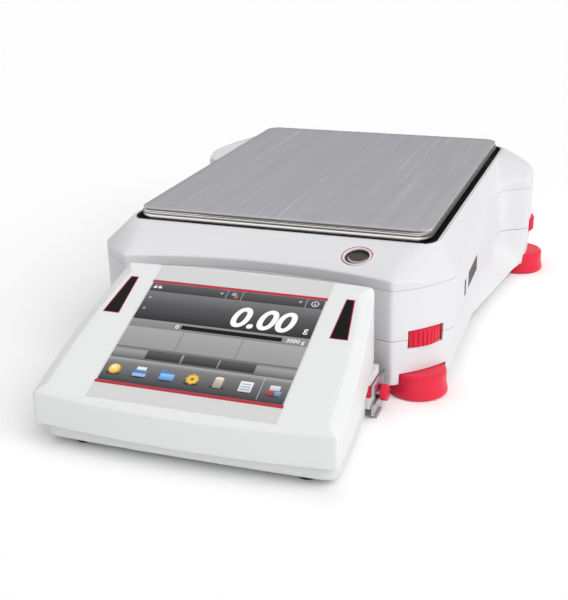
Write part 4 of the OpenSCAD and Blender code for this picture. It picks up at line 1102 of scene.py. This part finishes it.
class BALANCE_OT_display(bpy.types.Operator):
    """Draws the display, its red lines and the two sensor windows"""

    bl_idname = "balance.display"
    bl_label = "Display"

    def execute(self, context):
        red = plastic("trim_red", [0.65 * part for part in context.scene.balance_shell.red], 0.35)
        top = on_terminal()
        for name, v in (("trim_front", TRIM_L / 2), ("trim_rear", SCREEN_L - TRIM_L / 2)):
            strip = rounded_rectangle(SCREEN_W - 0.3, TRIM_L - 0.3, 0.4, 5, 4) + (0.0, v)
            build(name, moved(prism(strip, -0.05, TRIM_T), top), "terminal", red)
        for side, name in ((-1, "left"), (1, "right")):
            rings = [stacked(sensor_outline(grow) * (side, 1), height)
                     for grow, height in ((0.0, -0.3), (0.0, TRIM_T), (SENSOR_RIM, TRIM_T), (SENSOR_RIM, -0.3))]
            build("sensor_trim_" + name, moved(loft(rings, wrapped=True), top), "terminal", red)
        dress(glossy("sensor_black", (0.008, 0.008, 0.009), 0.15, 0.06), "sensor_window_left", "sensor_window_right")
        dress(glossy("display_glass", (0.03, 0.032, 0.036), 0.06), "display_glass")
        self.picture()
        return {"FINISHED"}

    def picture(self):
        """Header, reading, bar, fields and keys of a plain weighing screen, in mm from its left and rear edge."""
        left, rear = -SCREEN_W / 2, SCREEN_L
        art = Picture(left, rear)
        near, far = 1.0, SCREEN_W - 1.0
        art.bar(near, TRIM_L, far, SCREEN_L - TRIM_L, (0.24, 0.24, 0.24), layer=0)
        for v0, v1, first, last in (
                (2.5, 10.2, (0.115, 0.115, 0.12), (0.055, 0.055, 0.06)),
                (10.2, 21.0, (0.20, 0.20, 0.21), (0.10, 0.10, 0.105)),
                (21.0, 35.5, (0.10, 0.10, 0.105), (0.032, 0.032, 0.035)),
                (35.5, 42.3, (0.30, 0.30, 0.30), (0.24, 0.24, 0.24)),
                (42.3, 59.0, (0.40, 0.40, 0.40), (0.33, 0.33, 0.33)),
                (59.0, 62.2, (0.14, 0.14, 0.14), (0.36, 0.36, 0.36)),
                (62.2, 68.8, (0.36, 0.36, 0.36), (0.13, 0.13, 0.13)),
                (68.8, 72.0, (0.42, 0.42, 0.42), (0.22, 0.22, 0.22)),
                (72.0, 87.5, (0.22, 0.22, 0.225), (0.055, 0.055, 0.06))):
            art.bar(near, v0, far, v1, first, last)
        for u in (52.2, 62.2, 103.5):
            art.bar(u, 2.5, u + 0.5, 10.2, (0.36, 0.36, 0.36), layer=2)
        art.bar(34.8, 37.2, 98.7, 40.5, (0.008, 0.008, 0.008), layer=2)
        for u in (38.0, 76.0):
            art.bar(u, 42.3, u + 0.4, 59.0, (0.17, 0.17, 0.17), layer=2)
        for u0, u1 in ((22.4, 44.7), (46.0, 67.9), (68.8, 91.0)):
            art.bar(u0, 60.4, u1, 67.5, (0.12, 0.12, 0.125), (0.035, 0.035, 0.04), layer=2)
        self.icons(art)
        g = Graph("display_picture")
        paint = g.node("Attribute", {"attribute_name": "paint"})
        shine = g.shade(Base_Color=(0.0, 0.0, 0.0, 1.0), Specular_IOR_Level=0.06, Roughness=0.3,
                        Emission_Color=paint, Emission_Strength=1.0)
        self.light_up(art.piece("display_picture"), shine)
        white = Graph("display_white").shade(
            Base_Color=(0.02, 0.02, 0.02, 1.0), Emission_Color=(0.92, 0.92, 0.92, 1.0), Emission_Strength=1.0)
        for name, words, u, v, size, slant, weight in (
                ("digits_main", "0.00", 81.5, 25.4, 23.2, 0.16, 0.6),
                ("digits_unit", "g", 110.6, 29.0, 6.4, 0.0, 0.05),
                ("digits_low", "0", 32.0, 38.9, 4.6, 0.0, 0.05),
                ("digits_high", "3000 g", 107.0, 38.9, 4.2, 0.0, 0.04)):
            self.light_up(lettering(name, words, u, v, size, left, rear, 0.06, slant, weight), white)

    @staticmethod
    def light_up(piece, material):
        """Paints a piece that shines on the display and ties it to the terminal."""
        piece.data.materials.append(material)
        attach(piece, "terminal")

    @staticmethod
    def icons(art):
        """Small generic signs of the header and the function keys."""
        white, grey = (0.85, 0.85, 0.85), (0.5, 0.5, 0.5)
        gold, blue = (0.70, 0.42, 0.05), (0.10, 0.24, 0.58)
        for u, v in ((48.9, 6.1), (100.0, 5.9)):
            art.shape([(u - 1.3, v - 0.8), (u + 1.3, v - 0.8), (u, v + 1.0)], [grey] * 3, 3)
        for u in (4.0, 7.2):
            art.spot(u, 6.6, 1.3, white, squash=0.8)
        art.bar(3.0, 4.4, 8.2, 5.0, (0.6, 0.25, 0.25), layer=3)
        art.bar(55.6, 4.2, 58.4, 7.0, (0.35, 0.40, 0.46), layer=3)
        art.shape([(57.4, 8.8), (60.6, 8.8), (59.0, 5.6)], [(0.55, 0.16, 0.06)] * 3, 4)
        art.spot(109.4, 6.3, 2.4, white)
        art.spot(109.4, 6.3, 1.9, (0.10, 0.11, 0.13), 4)
        art.bar(109.1, 5.8, 109.7, 7.7, white, layer=5)
        for v in (16.3, 26.0):
            art.shape([(3.8, v - 1.0), (5.8, v), (3.8, v + 1.0)], [grey] * 3, 3)
        art.bar(98.8, 70.0, 99.2, 86.0, grey, layer=2)
        for u in (8.2, 24.6, 41.4, 57.5, 73.4, 90.1, 107.0):
            art.spot(u, 81.6, 4.6, (0.05, 0.05, 0.055), 2, squash=0.28)
        art.spot(8.2, 78.0, 3.9, (0.62, 0.36, 0.03))
        art.spot(7.8, 77.4, 3.2, (0.95, 0.66, 0.16), 4)
        art.spot(7.2, 76.6, 1.5, (1.0, 0.88, 0.5), 5)
        for v, half, colour in ((75.2, 3.0, white), (77.6, 4.2, blue), (80.2, 4.2, (0.35, 0.52, 0.85))):
            art.bar(24.6 - half, v - 1.2, 24.6 + half, v + 1.2, colour, layer=4)
        art.shape([(37.0, 81.4), (45.6, 81.4), (45.6, 75.4), (41.0, 75.4), (40.2, 74.0), (37.0, 74.0)], [blue] * 6, 3)
        art.bar(37.6, 76.8, 46.2, 81.6, (0.35, 0.62, 0.95), (0.08, 0.26, 0.62), layer=4)
        for angle in np.arange(8) * math.pi / 4:
            art.spot(57.5 + 2.9 * math.cos(angle), 78.0 + 2.9 * math.sin(angle), 1.2, gold, 3, 12)
        art.spot(57.5, 78.0, 3.0, (0.90, 0.60, 0.10), 4)
        art.spot(57.5, 78.0, 1.2, (0.30, 0.20, 0.05), 5)
        art.bar(70.8, 74.6, 76.0, 82.0, (0.72, 0.64, 0.48), (0.34, 0.28, 0.20), layer=3)
        art.spot(73.4, 74.6, 2.6, (0.85, 0.80, 0.68), 4, squash=0.4)
        art.bar(86.2, 74.2, 94.0, 82.0, (0.90, 0.90, 0.90), (0.62, 0.64, 0.68), layer=3)
        for v in (76.2, 78.2, 80.2):
            art.bar(87.4, v - 0.3, 92.8, v + 0.3, (0.30, 0.36, 0.45), layer=4)
        art.bar(104.0, 74.4, 110.0, 78.0, (0.80, 0.82, 0.85), (0.50, 0.55, 0.62), layer=3)
        art.bar(103.0, 78.4, 107.0, 81.8, (0.55, 0.10, 0.10), (0.30, 0.05, 0.05), layer=3)
        art.bar(107.6, 78.4, 111.4, 81.8, (0.25, 0.45, 0.75), (0.10, 0.20, 0.40), layer=3)


class BALANCE_OT_fittings(bpy.types.Operator):
    """Paints the bracket, clamps, sockets, screws and inner parts"""

    bl_idname = "balance.fittings"
    bl_label = "Fittings"

    def execute(self, context):
        red = plastic("clamp_red", context.scene.balance_shell.red, 0.36)
        black = plastic("black_plastic", (0.025, 0.025, 0.028), 0.5)
        rubber = plastic("rubber", (0.02, 0.02, 0.022), 0.75, 0.1)
        steel = metal("steel", (0.55, 0.55, 0.57), 0.3)
        alloy = metal("aluminium", (0.62, 0.63, 0.65), 0.36, (1.0, 20.0, 1.0), 60.0)
        dress(self.banded("cleat_red", context.scene.balance_shell), "dock_cleat_left", "dock_cleat_right")
        for side in ("left", "right"):
            node = "clamp_knob_" + side
            build("knob_" + side, knob_solid(node), "knob_" + side, red, [node])
        dress(steel, "dock_bracket", "bracket_screws", "clamp_stud_left", "clamp_stud_right", "cell_post",
              "board_pillars", "housing_screws", "terminal_screws", *["foot_stud_" + name for name in WHEELS])
        dress(alloy, "weigh_cell", "chassis_plate", "pan_spider")
        dress(black, "rear_panel", "power_jack", "terminal_socket", "terminal_plug", "display_panel")
        dress(rubber, "pan_buffers", "terminal_feet")
        dress(plastic("pad_grey", (0.30, 0.30, 0.31), 0.7, 0.1), "bracket_pads")
        dress(plastic("dark_grey", (0.045, 0.047, 0.05), 0.55), "latch_plugs", "hook_plug")
        dress(metal("port_steel", (0.5, 0.5, 0.52), 0.35), "serial_port", "usb_port")
        dress(plastic("circuit_board", (0.02, 0.12, 0.06), 0.4), "main_board", "terminal_board")
        return {"FINISHED"}

    @staticmethod
    def banded(name, shell):
        """White moulding with a red band over the middle of its height."""
        low, high = box_mm("dock_cleat_right")
        g = Graph(name)
        height = g.axis(2)
        above = height > (low[2] * 0.65 + high[2] * 0.35) * MM
        below = height < (low[2] * 0.25 + high[2] * 0.75) * MM
        return g.shade(Base_Color=g.mix(above * below, shell.terminal, shell.red),
                       Roughness=0.4 + (g.noise(60.0) - 0.5) * 0.06)


class BALANCE_OT_stage(bpy.types.Operator):
    """Sets the floor, the light and the camera"""

    bl_idname = "balance.stage"
    bl_label = "Stage"

    def execute(self, context):
        scene = context.scene
        stage = scene.balance_stage
        self.world(scene, stage.ambient)
        self.floor()
        self.sun("key_sun", stage.key, KEY_TURN)
        self.sun("top_sun", stage.fill, TOP_TURN)
        self.camera(scene, stage)
        scene.view_settings.view_transform = "Standard"
        return {"FINISHED"}

    @staticmethod
    def world(scene, ambient):
        """White for the camera, the ambient level for diffuse light, and for mirrors white above a grey horizon."""
        g = Graph("studio", "worlds")
        height = g.node("SeparateXYZ", None, {0: g.node("TexCoord", output="Generated")}, "Z")
        sky = g.node("MapRange", None, {"Value": height, "From Min": 0.0, "From Max": SKY_RISE,
                                        "To Min": SKY_LOW, "To Max": 1.0})
        strength = ambient
        for ray, level in (("Is Glossy Ray", sky), ("Is Transmission Ray", 1.0), ("Is Camera Ray", 1.0)):
            seen = g.node("LightPath", output=ray)
            strength = g.node("Mix", None, {"Factor": seen, "A": strength, "B": level})
        back = g.node("Background", None, {"Color": (1.0, 1.0, 1.0, 1.0), "Strength": strength})
        scene.world = g.close("OutputWorld", back)

    @staticmethod
    def floor():
        """White floor just under the feet, which keeps the shadow."""
        mesh = bpy.data.meshes.new("floor")
        corners = np.array([(-1, -1), (1, -1), (1, 1), (-1, 1)]) * FLOOR_REACH
        mesh.from_pydata(stacked(corners, -FLOOR_DROP).tolist(), [], [[0, 1, 2, 3]])
        mesh.materials.append(Graph("floor_white").shade(Base_Color=(0.98, 0.98, 0.98, 1.0), Roughness=0.9,
                                                         Specular_IOR_Level=0.0))
        linked("floor", mesh)

    @staticmethod
    def sun(name, strength, turn):
        """A broad sun that mirrors don't show."""
        light = bpy.data.lights.new(name, "SUN")
        light.energy, light.angle = strength, math.radians(SUN_SPREAD)
        lamp = linked(name, light)
        lamp.rotation_euler = [math.radians(part) for part in turn]
        lamp.visible_glossy = False

    @staticmethod
    def camera(scene, stage):
        """Camera at the place, angles and lens that were solved from the pan's and the display's corners."""
        az, el, roll = stage.azimuth, stage.elevation, stage.roll
        back = Vector((math.sin(az) * math.cos(el), -math.cos(az) * math.cos(el), math.sin(el)))
        right = Vector((math.cos(az), math.sin(az), 0.0))
        up = back.cross(right)
        turned = (math.cos(roll) * right + math.sin(roll) * up, math.cos(roll) * up - math.sin(roll) * right, back)
        data = bpy.data.cameras.new("camera")
        data.lens, data.sensor_width, data.sensor_fit = stage.lens, 36.0, "AUTO"
        camera = linked("camera", data)
        place = Matrix.Translation(Vector(CAMERA_AT) + Vector((0.0, PAN_FRONT * MM, 0.0)))
        camera.matrix_world = place @ Matrix(turned).transposed().to_4x4()
        scene.camera = camera


class BALANCE_PT_sidebar(bpy.types.Panel):
    """Sizes and steps of the balance"""

    bl_idname = "BALANCE_PT_sidebar"
    bl_label = "Laboratory Balance"
    bl_space_type = "VIEW_3D"
    bl_region_type = "UI"
    bl_category = "Balance"

    def draw(self, context):
        for group in (context.scene.balance_shell, context.scene.balance_pan, context.scene.balance_stage):
            box = self.layout.box()
            for key in group.__annotations__:
                box.prop(group, key)
        for step in STEPS:
            self.layout.operator(step.bl_idname)


STEPS = (BALANCE_OT_housing, BALANCE_OT_pan, BALANCE_OT_levelling, BALANCE_OT_terminal, BALANCE_OT_display,
         BALANCE_OT_fittings, BALANCE_OT_stage)
GROUPS = {"balance_shell": ShellSettings, "balance_pan": PanSettings, "balance_stage": StageSettings}


def register():
    for kind in (*GROUPS.values(), *STEPS, BALANCE_PT_sidebar):
        bpy.utils.register_class(kind)
    for name, kind in GROUPS.items():
        setattr(bpy.types.Scene, name, PointerProperty(type=kind))


def unregister():
    for name in GROUPS:
        delattr(bpy.types.Scene, name)
    for kind in (BALANCE_PT_sidebar, *reversed(STEPS), *GROUPS.values()):
        bpy.utils.unregister_class(kind)


def main():
    """Builds everything in order."""
    register()
    bpy.ops.balance.housing()
    bpy.ops.balance.pan()
    bpy.ops.balance.levelling()
    bpy.ops.balance.terminal()
    bpy.ops.balance.display()
    bpy.ops.balance.fittings()
    bpy.ops.balance.stage()


if __name__ == "__main__":
    main()
